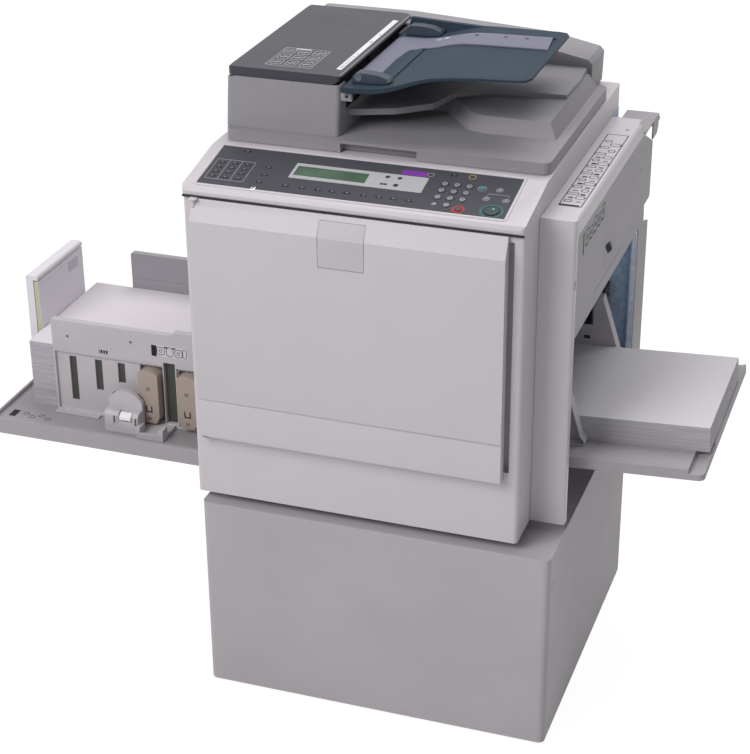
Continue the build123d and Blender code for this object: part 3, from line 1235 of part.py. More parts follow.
def drum_holder():
    """Front plate of the drum unit, with its pull handle and three centring lugs."""
    start = FRAME_FRONT - 6.0
    plate = prism_y(DRUM_RADIUS + 20, DRUM_SIDES, start, start + 4, DRUM_X, DRUM_Z)
    plate -= prism_y(CAP_RADIUS + SHAFT_GAP, DRUM_SIDES, start - 1, start + 5, DRUM_X, DRUM_Z)
    for turn in range(3):
        lug = block((DRUM_RADIUS + 2, DRUM_RADIUS + 7), (start + 3, FRAME_FRONT + FRAME_SHEET), (-12, 12))
        plate += Pos(DRUM_X, 0, DRUM_Z) * Rot(0, 90 + 120 * turn, 0) * lug
    low, high = DRUM_Z + 62, DRUM_Z + 78
    grip = [
        (DRUM_X - 55, start + 1),
        (DRUM_X - 55, start - 24),
        (DRUM_X - 49, start - 30),
        (DRUM_X + 49, start - 30),
        (DRUM_X + 55, start - 24),
        (DRUM_X + 55, start + 1),
        (DRUM_X + 43, start + 1),
        (DRUM_X + 43, start - 20),
        (DRUM_X - 43, start - 20),
        (DRUM_X - 43, start + 1),
    ]
    return plate + along_z(grip, low, high)


def ink_cartridge():
    """Ink cylinder that lies inside the drum, with its cap and turning grip at the front."""
    start = FRAME_FRONT - 12.0
    body = prism_y(CAP_RADIUS - 4, DRUM_SIDES, start + 24, DRUM_BACK - 60, DRUM_X, DRUM_Z)
    cap = prism_y(CAP_RADIUS, DRUM_SIDES, start, start + 24, DRUM_X, DRUM_Z)
    grip = block((DRUM_X - 30, DRUM_X + 30), (start - 10, start), (DRUM_Z - 5, DRUM_Z + 5))
    return body + cap + grip


def pressure_roller():
    """Rubber pressure roller under the drum."""
    roller = rod_y(PRESS_RADIUS, DRUM_FRONT + 12, DRUM_BACK - 12, DRUM_X, PRESS_Z)
    return roller + rod_y(PRESS_SHAFT, FRAME_FRONT, FRAME_BACK + FRAME_SHEET + 6, DRUM_X, PRESS_Z)


def feed_roller():
    """Paper pick-up shaft with its rubber roller."""
    half = 52.0
    shaft = rod_y(FEED_SHAFT, FRAME_FRONT - 6, FRAME_BACK + FRAME_SHEET + 6, FEED_ROLLER_X, FEED_ROLLER_Z)
    return shaft + rod_y(FEED_ROLLER_RADIUS, PAPER_Y - half, PAPER_Y + half, FEED_ROLLER_X, FEED_ROLLER_Z)


def feed_head():
    """Black carrier over the feed rollers, with its paper guide nose."""
    low = FEED_ROLLER_Z + 8.0
    x = (FEED_ROLLER_X - 50, BODY_RIGHT - SKIN - 6)
    profile = [
        (x[0], low + 60),
        (x[0], low + 20),
        (FEED_ROLLER_X - 28, low + 18),
        (FEED_ROLLER_X + 30, low + 18),
        (x[1] - 20, low + 6),
        (x[1], low + 14),
        (x[1], low + 60),
    ]
    return along_y(profile, FRAME_FRONT + FRAME_SHEET, FRAME_BACK)


def master_unit():
    """Master maker: tray with the thermal head beam and the master roll in its cradle."""
    x = (BODY_RIGHT - 160, BODY_RIGHT - 24)
    z = STAND_TOP + 415.0
    span = (FRAME_FRONT + FRAME_SHEET + 4, FRAME_BACK - 6)
    profile = [(x[0], z), (x[1], z), (x[1], z + 110), (x[1] - 6, z + 110), (x[1] - 6, z + 6), (x[0], z + 6)]
    tray = along_y(profile, *span)
    head = along_y([(x[0], z + 6), (x[0] + 26, z + 6), (x[0] + 20, z + 44), (x[0] + 6, z + 44)], *span)
    roll_x = x[0] + 80
    roll = prism_y(38.0, DRUM_SIDES, PAPER_Y - 160, PAPER_Y + 160, roll_x, z + 50)
    core = prism_y(8.0, ROUND_SIDES, PAPER_Y - 172, PAPER_Y + 172, roll_x, z + 50)
    unit = tray + head
    for end in (PAPER_Y - 178, PAPER_Y + 168):
        unit += block((roll_x - 20, roll_x + 20), (end, end + 10), (z + 6, z + 70))
    return unit + roll + core


def master_eject_box():
    """Box for used masters, open towards the drum, with a pull at the front."""
    x = (BODY_LEFT + 24, BODY_LEFT + 150)
    z = (STAND_TOP + 412.0, STAND_TOP + 524.0)
    span = (FRAME_FRONT + FRAME_SHEET + 4, FRAME_BACK - 6)
    box = block(x, span, z)
    box -= block((x[0] + 3, x[1] + 1), (span[0] + 3, span[1] - 3), (z[0] + 30, z[1] - 3))
    box -= block((x[0] + 3, x[1] - 3), (span[0] + 3, span[1] - 3), (z[0] + 3, z[0] + 31))
    return box


def parts():
    """Every node of the machine by name."""
    nodes = {
        "stand_cabinet": stand_cabinet(),
        "rubber_feet": rubber_feet(),
        "machine_frame": machine_frame(),
        "front_frame": front_frame(),
        "front_door": front_door(),
        "left_cover": left_cover(),
        "rear_cover": rear_cover(),
        "power_inlet": power_inlet(),
        "feed_wall": feed_wall(),
        "feed_front_cover": feed_front_cover(),
        "feed_top_cover": feed_top_cover(),
        "feed_side_cover": feed_side_cover(),
        "feed_rear_bracket": feed_rear_bracket(),
        "scanner_housing": scanner_housing(),
        "platen_glass": platen_glass(),
        "scanner_carriage": scanner_carriage(),
        "console_housing": console_housing(),
        "console_panel": console_panel(),
        "display_window": display_window(),
        "platen_cover": platen_cover(),
        "adf_housing": adf_housing(),
        "adf_cover": adf_cover(),
        "adf_roller": adf_roller(),
        "original_tray": original_tray(),
        "original_guide_front": original_guide(True),
        "original_guide_rear": original_guide(False),
        "feed_table": feed_table(),
        "feed_paper_stack": feed_paper_stack(),
        "feed_pad_front": feed_pad(True),
        "feed_pad_rear": feed_pad(False),
        "delivery_table": delivery_table(),
        "delivery_plate_front": delivery_plate_front(),
        "delivery_plate_rear": delivery_plate_rear(),
        "delivery_wing_left": delivery_wing(WING_LEFTS[0]),
        "delivery_wing_right": delivery_wing(WING_LEFTS[1]),
        "plate_lever": plate_lever(),
        "delivery_end_plate": delivery_end_plate(),
        "end_plate_cushion": end_plate_cushion(),
        "delivery_paper_stack": delivery_paper_stack(),
        "print_drum": print_drum(),
        "drum_holder": drum_holder(),
        "ink_cartridge": ink_cartridge(),
        "pressure_roller": pressure_roller(),
        "feed_roller": feed_roller(),
        "feed_head": feed_head(),
        "master_unit": master_unit(),
        "master_eject_box": master_eject_box(),
    }
    for name, centre, radius in key_places():
        nodes[name] = key(centre, radius)
    return nodes


def main():
    """Write one STEP file for each node."""
    os.makedirs("parts", exist_ok=True)
    for name, solid in parts().items():
        export_step(solid, f"parts/{name}.step")


if __name__ == "__main__":
    main()
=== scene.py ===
"""Looks of a digital duplicator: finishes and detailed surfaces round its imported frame."""
import json
import logging
import math
from collections.abc import Sequence
from dataclasses import dataclass

import bmesh
import bpy
import numpy as np
from mathutils import Matrix


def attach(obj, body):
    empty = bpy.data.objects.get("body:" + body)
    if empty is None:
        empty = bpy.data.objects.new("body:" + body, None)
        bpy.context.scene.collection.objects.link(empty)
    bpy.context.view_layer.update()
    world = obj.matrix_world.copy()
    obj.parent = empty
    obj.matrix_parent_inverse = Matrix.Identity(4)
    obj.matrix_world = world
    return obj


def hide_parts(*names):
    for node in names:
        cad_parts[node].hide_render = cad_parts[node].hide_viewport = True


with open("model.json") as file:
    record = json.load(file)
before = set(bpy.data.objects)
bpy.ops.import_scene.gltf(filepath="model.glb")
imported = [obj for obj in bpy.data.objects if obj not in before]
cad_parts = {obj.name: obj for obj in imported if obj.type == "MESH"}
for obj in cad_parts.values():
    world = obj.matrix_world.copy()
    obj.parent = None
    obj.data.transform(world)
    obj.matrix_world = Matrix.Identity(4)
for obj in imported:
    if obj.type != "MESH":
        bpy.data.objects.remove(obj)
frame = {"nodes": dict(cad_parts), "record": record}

LOG = logging.getLogger("duplicator")
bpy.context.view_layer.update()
MM = 0.001
BODY_OF = {node: body for body, nodes in frame["record"]["behaviour"]["bodies"].items() for node in nodes}

Tree = bpy.types.NodeTree
Node = bpy.types.Node
Socket = bpy.types.NodeSocket

# A pair or triple is a place or a size, axis by axis; a span is two limits along one axis and two along the next;
# rows are a list of places, of a profile's points or of small plates
Pair = tuple[float, float]
Triple = tuple[float, float, float]
Span = tuple[float, float, float, float]
Rows = Sequence[tuple[float, ...]]

# Right faces of the cabinet and of the feed unit, in millimetres of the machine's frame
RIGHT_FACE = 466.0

# How far the feed table is tilted, and its paper with it
TABLE_TILT = math.radians(3.2)

# Where the underside of a print or a thin plate lies, in millimetres from the surface that carries it
SUNK = -0.1


# Shader nodes and colours

def linear(code: str) -> tuple[float, float, float, float]:
    """Turns an sRGB hex colour into linear light.

    Args:
        code: Colour as #RRGGBB.

    Returns:
        Red, green, blue and full alpha.
    """
    parts = np.array([int(code[i:i + 2], 16) for i in (1, 3, 5)]) / 255
    light = np.where(parts <= 0.04045, parts / 12.92, ((parts + 0.055) / 1.055) ** 2.4)
    return (*light.tolist(), 1.0)


def shade(code: str, factor: float) -> str:
    """Returns a hex colour made darker or lighter by a factor."""
    parts = [min(255, max(0, round(int(code[i:i + 2], 16) * factor))) for i in (1, 3, 5)]
    return "#" + "".join(f"{part:02X}" for part in parts)


def per_mm(size: float) -> float:
    """Returns the texture scale whose pattern repeats about every size millimetres."""
    return 1.0 / (size * MM)


def add(tree: Tree, kind: str, sockets: dict | None = None, feeds: dict | None = None, **settings: object) -> Node:
    """Adds one shader node with its settings and links.

    Args:
        tree: The nodes of a material or of the world.
        kind: The node's type.
        sockets: For each input, the socket that feeds it or its plain value.
        feeds: For each output, the socket that it feeds.
        **settings: The node's own settings.

    Returns:
        The new node.
    """
    node = tree.nodes.new(kind)
    for name, value in settings.items():
        setattr(node, name, value)
    for key, value in (sockets or {}).items():
        if isinstance(value, Socket):
            tree.links.new(value, node.inputs[key])
        else:
            node.inputs[key].default_value = value
    for key, target in (feeds or {}).items():
        tree.links.new(node.outputs[key], target)
    return node


# A noise seldom leaves this range, so it is the one that is mapped onto a share or a roughness
NOISE_SPAN = {"From Min": 0.3, "From Max": 0.7}

# Bands that the wave texture draws where the other textures draw their pattern once
WAVE_BANDS = 3.14


# Kinds of finish

@dataclass(frozen=True)
class Finish:
    """A surface finish: what it is made of and how it is made.

    Its slot is the record's material that it belongs to, and low and high are the factors by which its pattern
    makes the colour darker and lighter.
    """

    name: str
    slot: str
    colour: str
    roughness: float = 0.5
    metallic: float = 0.0
    gloss: float = 0.5
    low: float = 1.0
    high: float = 1.0

    def material(self) -> bpy.types.Material:
        """Builds the finish's material the first time it is asked for.

        Returns:
            The material; its colour runs between two tones where the pattern gives their share.
        """
        found = bpy.data.materials.get(self.name)
        if found:
            return found
        made = bpy.data.materials.new(self.name)
        made.use_nodes = True
        tree = made.node_tree
        shader = tree.nodes["Principled BSDF"]
        shader.inputs["Base Color"].default_value = linear(self.colour)
        shader.inputs["Roughness"].default_value = self.roughness
        shader.inputs["Metallic"].default_value = self.metallic
        shader.inputs["Specular IOR Level"].default_value = self.gloss
        share = self.pattern(tree, shader, add(tree, "ShaderNodeTexCoord").outputs["Object"])
        if share:
            low, high = self.tones()
            add(tree, "ShaderNodeMix", {"Factor": share, 6: linear(low), 7: linear(high)},
                {2: shader.inputs["Base Color"]}, data_type="RGBA")
        return made

    def tones(self) -> tuple[str, str]:
        """Returns the two colours that the pattern runs between."""
        return shade(self.colour, self.low), shade(self.colour, self.high)

    def pattern(self, tree: Tree, shader: Node, place: Socket) -> Socket | None:
        """Adds the finish's pattern and returns the share of the high tone; the plain finish has neither."""


@dataclass(frozen=True)
class MouldedPlastic(Finish):
    """ABS moulded in a spark-eroded tool: an even fine grain that softens highlights.

    The real grain is about 0.6 mm; it is drawn at grain millimetres so that it shows. Colour and gloss drift over
    some centimetres, as they do on a large moulding.
    """

    low: float = 0.995
    high: float = 1.005
    grain: float = 1.6
    depth: float = 0.05
    drift: float = 70.0
    sheen: float = 0.02

    def pattern(self, tree: Tree, shader: Node, place: Socket) -> Socket:
        """Adds the grain, and a faint unevenness of gloss.

        Args:
            tree: The material's nodes.
            shader: Its shader.
            place: The object's own coordinates.

        Returns:
            The drift of the colour, as a share of the lighter tone.
        """
        cloud = add(tree, "ShaderNodeTexNoise", {"Vector": place, "Scale": per_mm(self.drift), "Detail": 3.0})
        add(tree, "ShaderNodeMapRange", {"Value": cloud.outputs["Fac"], **NOISE_SPAN,
                                         "To Min": self.roughness - self.sheen,
                                         "To Max": self.roughness + self.sheen}, {"Result": shader.inputs["Roughness"]})
        grain = add(tree, "ShaderNodeTexNoise", {"Vector": place, "Scale": per_mm(self.grain), "Detail": 2.0,
                                                 "Roughness": 0.6})
        add(tree, "ShaderNodeBump", {"Height": grain.outputs["Fac"], "Strength": 0.35, "Distance": self.depth * MM},
            {"Normal": shader.inputs["Normal"]})
        return add(tree, "ShaderNodeMapRange", {"Value": cloud.outputs["Fac"], **NOISE_SPAN}).outputs["Result"]


@dataclass(frozen=True)
class PaintedSheet(Finish):
    """Powder-coated sheet steel: a low orange peel, about 3 mm across, under a satin skin."""

    low: float = 0.985
    high: float = 1.015
    peel: float = 3.0
    depth: float = 0.04
    drift: float = 160.0

    def pattern(self, tree: Tree, shader: Node, place: Socket) -> Socket:
        """Adds the orange peel.

        Args:
            tree: The material's nodes.
            shader: Its shader.
            place: The object's own coordinates.

        Returns:
            A slow drift of colour down the sheet.
        """
        peel = add(tree, "ShaderNodeTexVoronoi", {"Vector": place, "Scale": per_mm(self.peel), "Smoothness": 1.0},
                   feature="SMOOTH_F1")
        add(tree, "ShaderNodeBump", {"Height": peel.outputs["Distance"], "Strength": 0.25,
                                     "Distance": self.depth * MM}, {"Normal": shader.inputs["Normal"]})
        cloud = add(tree, "ShaderNodeTexNoise", {"Vector": place, "Scale": per_mm(self.drift), "Detail": 2.0})
        return add(tree, "ShaderNodeMapRange", {"Value": cloud.outputs["Fac"], **NOISE_SPAN}).outputs["Result"]


@dataclass(frozen=True)
class ZincedSheet(Finish):
    """Zinc-plated sheet: crystals some millimetres across that differ in tone and gloss."""

    low: float = 0.94
    high: float = 1.06
    crystal: float = 9.0
    sheen: float = 0.06

    def pattern(self, tree: Tree, shader: Node, place: Socket) -> Socket:
        """Adds the crystals to the roughness.

        Args:
            tree: The material's nodes.
            shader: Its shader.
            place: The object's own coordinates.

        Returns:
            The tone of each crystal.
        """
        cells = add(tree, "ShaderNodeTexVoronoi", {"Vector": place, "Scale": per_mm(self.crystal), "Randomness": 1.0})
        tone = add(tree, "ShaderNodeSeparateColor", {"Color": cells.outputs["Color"]})
        add(tree, "ShaderNodeMapRange", {"Value": tone.outputs["Green"], "To Min": self.roughness - self.sheen,
                                         "To Max": self.roughness + self.sheen}, {"Result": shader.inputs["Roughness"]})
        return tone.outputs["Red"]


@dataclass(frozen=True)
class TurnedSteel(Finish):
    """Ground or turned steel: fine rings round the y axis, drawn 3 mm apart so that they show."""

    ring: float = 3.0
    depth: float = 0.02

    def pattern(self, tree: Tree, shader: Node, place: Socket) -> None:
        """Adds the grinding rings to the roughness and the surface.

        Args:
            tree: The material's nodes.
            shader: Its shader.
            place: The object's own coordinates.
        """
        rings = add(tree, "ShaderNodeTexWave", {"Vector": place, "Scale": per_mm(self.ring) / WAVE_BANDS,
                                                "Distortion": 0.4},
                    wave_type="BANDS", bands_direction="Y")
        add(tree, "ShaderNodeMapRange", {"Value": rings.outputs["Fac"], "To Min": self.roughness - 0.05,
                                         "To Max": self.roughness + 0.08}, {"Result": shader.inputs["Roughness"]})
        add(tree, "ShaderNodeBump", {"Height": rings.outputs["Fac"], "Strength": 0.2, "Distance": self.depth * MM},
            {"Normal": shader.inputs["Normal"]})


@dataclass(frozen=True)
class Rubber(Finish):
    """Ground rubber: matt, with a fine tooth left by the grinding wheel that looks dusty."""

    high: float = 1.3
    tooth: float = 1.2
    depth: float = 0.08

    def pattern(self, tree: Tree, shader: Node, place: Socket) -> Socket:
        """Adds the tooth as a bump.

        Args:
            tree: The material's nodes.
            shader: Its shader.
            place: The object's own coordinates.

        Returns:
            The tooth's dusty unevenness.
        """
        tooth = add(tree, "ShaderNodeTexNoise", {"Vector": place, "Scale": per_mm(self.tooth), "Detail": 4.0})
        add(tree, "ShaderNodeBump", {"Height": tooth.outputs["Fac"], "Strength": 0.5, "Distance": self.depth * MM},
            {"Normal": shader.inputs["Normal"]})
        return add(tree, "ShaderNodeMapRange", {"Value": tooth.outputs["Fac"], **NOISE_SPAN}).outputs["Result"]


@dataclass(frozen=True)
class StackedPaper(Finish):
    """Uncoated copy paper in a stack: plain on top, with fine sheet lines and painted shade round the sides.

    Sheets are 0.1 mm thick; the lines are drawn pitch millimetres apart so that they show.
    """

    line: str = "#A8A5AB"
    pitch: float = 2.6
    tilt: float = 0.0
    depth: float = 0.3

    def tones(self) -> tuple[str, str]:
        """Returns the paper's colour and that of the lines."""
        return self.colour, self.line

    def pattern(self, tree: Tree, shader: Node, place: Socket) -> Socket:
        """Adds lines across the stack's height, stronger where the sheets lie unevenly, and painted shade on the sides.

        Args:
            tree: The material's nodes.
            shader: Its shader.
            place: The object's own coordinates.

        Returns:
            The share of the lines' colour.
        """
        level = add(tree, "ShaderNodeMapping", {"Vector": place, "Rotation": (0.0, self.tilt, 0.0)})
        drawn = add(tree, "ShaderNodeMapping", {"Vector": level.outputs["Vector"],
                                                "Scale": (6.0, 6.0, per_mm(self.pitch))})
        sheets = add(tree, "ShaderNodeTexNoise", {"Vector": drawn.outputs["Vector"], "Scale": 1.0, "Detail": 5.0,
                                                  "Roughness": 0.7})
        lines = add(tree, "ShaderNodeMapRange", {"Value": sheets.outputs["Fac"], **NOISE_SPAN, "To Min": 0.3})
        face = add(tree, "ShaderNodeSeparateXYZ", {"Vector": add(tree, "ShaderNodeNewGeometry").outputs["Normal"]})
        upright = add(tree, "ShaderNodeMath", {0: face.outputs["Z"]}, operation="ABSOLUTE")
        side = add(tree, "ShaderNodeMapRange", {"Value": upright.outputs["Value"], "From Min": 0.3, "From Max": 0.8,
                                                "To Min": 1.0, "To Max": 0.0})
        share = add(tree, "ShaderNodeMath", {0: lines.outputs["Result"], 1: side.outputs["Result"]},
                    operation="MULTIPLY").outputs["Value"]
        add(tree, "ShaderNodeBump", {"Height": share, "Strength": 0.5, "Distance": self.depth * MM},
            {"Normal": shader.inputs["Normal"]})
        return share


@dataclass(frozen=True)
class OpenFoam(Finish):
    """Open-cell polyurethane foam: round cells about 1 mm across, drawn at 2 mm, darkened with painted shade as pits.
    """

    high: float = 0.82
    cell: float = 2.0
    depth: float = 0.5

    def pattern(self, tree: Tree, shader: Node, place: Socket) -> Socket:
        """Adds the cells as pits, with painted shade.

        Args:
            tree: The material's nodes.
            shader: Its shader.
            place: The object's own coordinates.

        Returns:
            The share of the pits' painted shade.
        """
        cells = add(tree, "ShaderNodeTexVoronoi", {"Vector": place, "Scale": per_mm(self.cell)})
        add(tree, "ShaderNodeBump", {"Height": cells.outputs["Distance"], "Strength": 0.6,
                                     "Distance": self.depth * MM}, {"Normal": shader.inputs["Normal"]})
        return add(tree, "ShaderNodeMapRange", {"Value": cells.outputs["Distance"], "From Min": 0.1,
                                                "From Max": 0.6}).outputs["Result"]


@dataclass(frozen=True)
class PrintedFilm(Finish):
    """Polyester overlay printed from behind: satin, with a very fine even texture, drawn at 0.9 mm."""

    low: float = 0.97
    high: float = 1.03
    grain: float = 0.9
    depth: float = 0.02

    def pattern(self, tree: Tree, shader: Node, place: Socket) -> Socket:
        """Adds the film's fine texture.

        Args:
            tree: The material's nodes.
            shader: Its shader.
            place: The object's own coordinates.

        Returns:
            The texture, as a share of the lighter tone.
        """
        fine = add(tree, "ShaderNodeTexNoise", {"Vector": place, "Scale": per_mm(self.grain), "Detail": 2.0})
        add(tree, "ShaderNodeBump", {"Height": fine.outputs["Fac"], "Strength": 0.2, "Distance": self.depth * MM},
            {"Normal": shader.inputs["Normal"]})
        return add(tree, "ShaderNodeMapRange", {"Value": fine.outputs["Fac"], **NOISE_SPAN}).outputs["Result"]


@dataclass(frozen=True)
class Crystal(Finish):
    """Liquid crystal glass over its green reflector: a faint dot grid, 1.4 mm, under gloss."""

    low: float = 0.85
    high: float = 1.15
    dot: float = 1.4
    drift: float = 40.0

    def pattern(self, tree: Tree, shader: Node, place: Socket) -> Socket:
        """Adds the glass as a coat.

        Args:
            tree: The material's nodes.
            shader: Its shader.
            place: The object's own coordinates.

        Returns:
            The dots over a slow change of the reflector's green.
        """
        shader.inputs["Coat Weight"].default_value = 0.6
        shader.inputs["Coat Roughness"].default_value = 0.08
        dots = add(tree, "ShaderNodeTexChecker", {"Vector": place, "Scale": per_mm(self.dot)})
        cloud = add(tree, "ShaderNodeTexNoise", {"Vector": place, "Scale": per_mm(self.drift), "Detail": 1.0})
        slow = add(tree, "ShaderNodeMapRange", {"Value": cloud.outputs["Fac"], **NOISE_SPAN, "To Max": 0.75})
        return add(tree, "ShaderNodeMath", {0: dots.outputs["Fac"], 1: 0.25, 2: slow.outputs["Result"]},
                   operation="MULTIPLY_ADD").outputs["Value"]


@dataclass(frozen=True)
class FloatGlass(Finish):
    """Float glass: clear with a faint green edge, perfectly smooth."""

    drift: float = 120.0

    def pattern(self, tree: Tree, shader: Node, place: Socket) -> None:
        """Lets light through, and varies the polish very slightly.

        Args:
            tree: The material's nodes.
            shader: Its shader.
            place: The object's own coordinates.
        """
        shader.inputs["Transmission Weight"].default_value = 0.85
        shader.inputs["IOR"].default_value = 1.52
        haze = add(tree, "ShaderNodeTexNoise", {"Vector": place, "Scale": per_mm(self.drift), "Detail": 2.0})
        add(tree, "ShaderNodeMapRange", {"Value": haze.outputs["Fac"], **NOISE_SPAN, "To Min": 0.02, "To Max": 0.06},
            {"Result": shader.inputs["Roughness"]})


@dataclass(frozen=True)
class EtchedScreen(Finish):
    """Etched metal drum screen: round holes, drawn 4 mm apart so that they show as dark dots."""

    low: float = 0.35
    pitch: float = 4.0
    depth: float = 0.2

    def pattern(self, tree: Tree, shader: Node, place: Socket) -> Socket:
        """Adds the holes, sunk into the metal.

        Args:
            tree: The material's nodes.
            shader: Its shader.
            place: The object's own coordinates.

        Returns:
            The share of metal at each place, 0 in the holes.
        """
        holes = add(tree, "ShaderNodeTexVoronoi", {"Vector": place, "Scale": per_mm(self.pitch), "Randomness": 0.0})
        share = add(tree, "ShaderNodeMapRange", {"Value": holes.outputs["Distance"], "From Min": 0.25,
                                                 "From Max": 0.35}).outputs["Result"]
        add(tree, "ShaderNodeBump", {"Height": share, "Strength": 0.4, "Distance": self.depth * MM},
            {"Normal": shader.inputs["Normal"]})
        return share


# The machine's finishes, each group with what it gives the eye

# Moulded covers in ABS: warm pale grey with a soft sheen, a deeper matt grey, and a dark matt lid
SHELL = MouldedPlastic("shell_abs_light", "shell_light", "#CBC5C9", 0.42)
SHELL_GREY = MouldedPlastic("cover_abs_grey", "shell_grey", "#989599", 0.5, gloss=0.15)
SHELL_DARK = MouldedPlastic("lid_abs_dark", "shell_dark", "#45444C", 0.45, gloss=0.2)

# Powder-coated steel: panels and cabinet, matt enough to look even in any light
PANEL = PaintedSheet("side_panel_paint", "panel_paint", "#ABA7AA", 0.5, gloss=0.12)
CABINET = PaintedSheet("cabinet_powder_coat", "cabinet_paint", "#B8B2B6", 0.5, gloss=0.12)
BADGE = PaintedSheet("badge_plate", "shell_light", "#C4BEC3", 0.42, gloss=0.3)

# Zinc-plated steel: spangled grey frame, and the feed bay's wall and strip in pale blue and white, lightened as painted
# light
FRAME_ZINC = ZincedSheet("frame_zinc", "frame_steel", "#9A9CA0", 0.38, 0.9)
BAY_WALL_PAINTED_LIGHT = ZincedSheet("bay_blue_zinc_painted_light", "bay_paint", "#B2C6DC", 0.4, 0.0)
BAY_STRIP_PAINTED_LIGHT = ZincedSheet("bay_strip_painted_light", "bay_paint", "#F4FAFF", 0.35, 0.0)

# Printed overlay of the console: dark satin film, and its prints in pale grey, purple, yellow, red and green
FILM = PrintedFilm("console_overlay", "console_film", "#4A4A51", 0.4, gloss=0.1)
FILM_PALE = PrintedFilm("overlay_pale_print", "console_film", "#B4B3B6", 0.4, gloss=0.15)
# Its pale line print also gives the painted glints on the film keys' caps
FILM_LINE_AND_GLINT = PrintedFilm("overlay_line_print_and_glint", "console_film", "#A9AAB2", 0.4)
FILM_PURPLE = PrintedFilm("overlay_purple_print", "console_film", "#7A2E9E", 0.36)
FILM_YELLOW = PrintedFilm("overlay_yellow_print", "console_film", "#C8A545", 0.4)
STOP_RED = PrintedFilm("print_red", "key_red", "#C23A3E", 0.4, gloss=0.15)
START_GREEN = PrintedFilm("print_teal", "key_teal", "#2E6E68", 0.4, gloss=0.15)
LCD = Crystal("display_crystal", "display", "#4A6450", 0.3, gloss=0.2)

# Keys in finer ABS: glossy silver and dark caps, deep tinted stop, start and clear caps, and a lens with a painted glow
KEY_SILVER = MouldedPlastic("key_silver", "key_grey", "#86878E", 0.22, grain=0.8)
KEY_DARK = MouldedPlastic("key_dark", "console_film", "#232329", 0.3, grain=0.8, gloss=0.25)
KEY_RED = MouldedPlastic("stop_key_abs", "key_red", "#5A3A3E", 0.3, grain=0.8, gloss=0.2)
KEY_TEAL = MouldedPlastic("start_key_abs", "key_teal", "#2C3C40", 0.35, grain=0.8, gloss=0.2)
KEY_CLEAR = MouldedPlastic("clear_key_abs", "key_orange", "#4E7E86", 0.3, grain=0.8, gloss=0.2)
LENS_PAINTED_GLOW = MouldedPlastic("lamp_lens_painted_glow", "key_teal", "#8ED0A0", 0.15, grain=0.8)
CHROME = TurnedSteel("slider_chrome", "frame_steel", "#C6C8CC", 0.15, 1.0)

# Document feeder: blue-grey matt tray with grey film, blue-grey guides, pale prints, trims and a painted highlight on
# the lid
TRAY = MouldedPlastic("tray_abs_blue", "tray_blue", "#384450", 0.55, gloss=0.05)
TRAY_LABEL = PrintedFilm("tray_grey_film", "tray_blue", "#7C7B8C", 0.5, gloss=0.1)
GUIDE = MouldedPlastic("guide_abs", "guide_grey", "#454C57", 0.45, gloss=0.15)
GUIDE_RIM = MouldedPlastic("guide_rim_abs", "guide_grey", "#6A727E", 0.4, gloss=0.2)
LID_PRINT = PrintedFilm("lid_print_pale", "shell_light", "#C2C2C8", 0.4, gloss=0.2)
STRIP_WHITE = PrintedFilm("size_strip_white", "lever_white", "#E9E9EC", 0.4, gloss=0.2)
# Its pale grey is also a painted highlight along the lid's lip
TRIM_AND_HIGHLIGHT = MouldedPlastic("trim_abs_pale_and_highlight", "shell_light", "#7E7C80", 0.35, gloss=0.2)

# Paper tables and their plates: flat greys, beige wings, a bright white lever, a pale fence with cream foam
TABLE = MouldedPlastic("table_abs", "table_grey", "#ABA6AA", 0.5, gloss=0.1)
PLATE = MouldedPlastic("plate_abs", "plate_grey", "#C0BBBF", 0.46, gloss=0.3)
# Darker copy of the plate grey, as painted shade on the rear plate
PLATE_PAINTED_SHADE = MouldedPlastic("plate_abs_painted_shade", "plate_grey", "#98949A", 0.46)
WING = MouldedPlastic("wing_beige_abs", "wing_beige", "#A99B92", 0.45, gloss=0.3)
WING_MARK = PrintedFilm("wing_mark_dark", "wing_beige", "#3E352F", 0.5, gloss=0.1)
LEVER = MouldedPlastic("lever_white_abs", "lever_white", "#F0EFEF", 0.28)
FENCE = MouldedPlastic("fence_abs_pale", "fence_pale", "#E4DFE6", 0.45, gloss=0.2)
# Its cells are darkened with painted shade
FOAM = OpenFoam("fence_foam", "foam_yellow", "#E6E4BE", 0.9, gloss=0.1)
PATCH = PrintedFilm("fence_patch_film", "fence_pale", "#CAC6D2", 0.5, gloss=0.1)
# Dark grey of painted shade behind the front plate's slots
SLOT_PAINTED_SHADE = MouldedPlastic("slot_painted_shade_dark", "black_plastic", "#4A4C49", 0.5, gloss=0.2)
SCREW = TurnedSteel("screw_steel", "frame_steel", "#6E6E72", 0.3, 0.9)

# Copy paper: matt white with grey sheet lines and painted shade on the sides, level on the delivery table, tilted on
# the feed table
PAPER = StackedPaper("paper_delivered", "paper_white", "#DCD6DB", 0.8, line="#94929A", gloss=0.1)
PAPER_FEED = StackedPaper("paper_feed", "paper_white", "#DCD8DC", 0.8, line="#A4A2A6", tilt=TABLE_TILT,
                          gloss=0.1)

# Labels: dark print, pale ground, a dark red dot and the grey line round the bare badge
INK = PrintedFilm("print_dark", "black_plastic", "#2A282C", 0.5, gloss=0.1)
LABEL = PrintedFilm("label_pale", "fence_pale", "#CFCBD0", 0.4, gloss=0.15)
DOT_RED = PrintedFilm("print_dark_red", "key_red", "#5A2328", 0.4)
BORDER = PrintedFilm("badge_border_grey", "shell_light", "#77727A", 0.4, gloss=0.2)

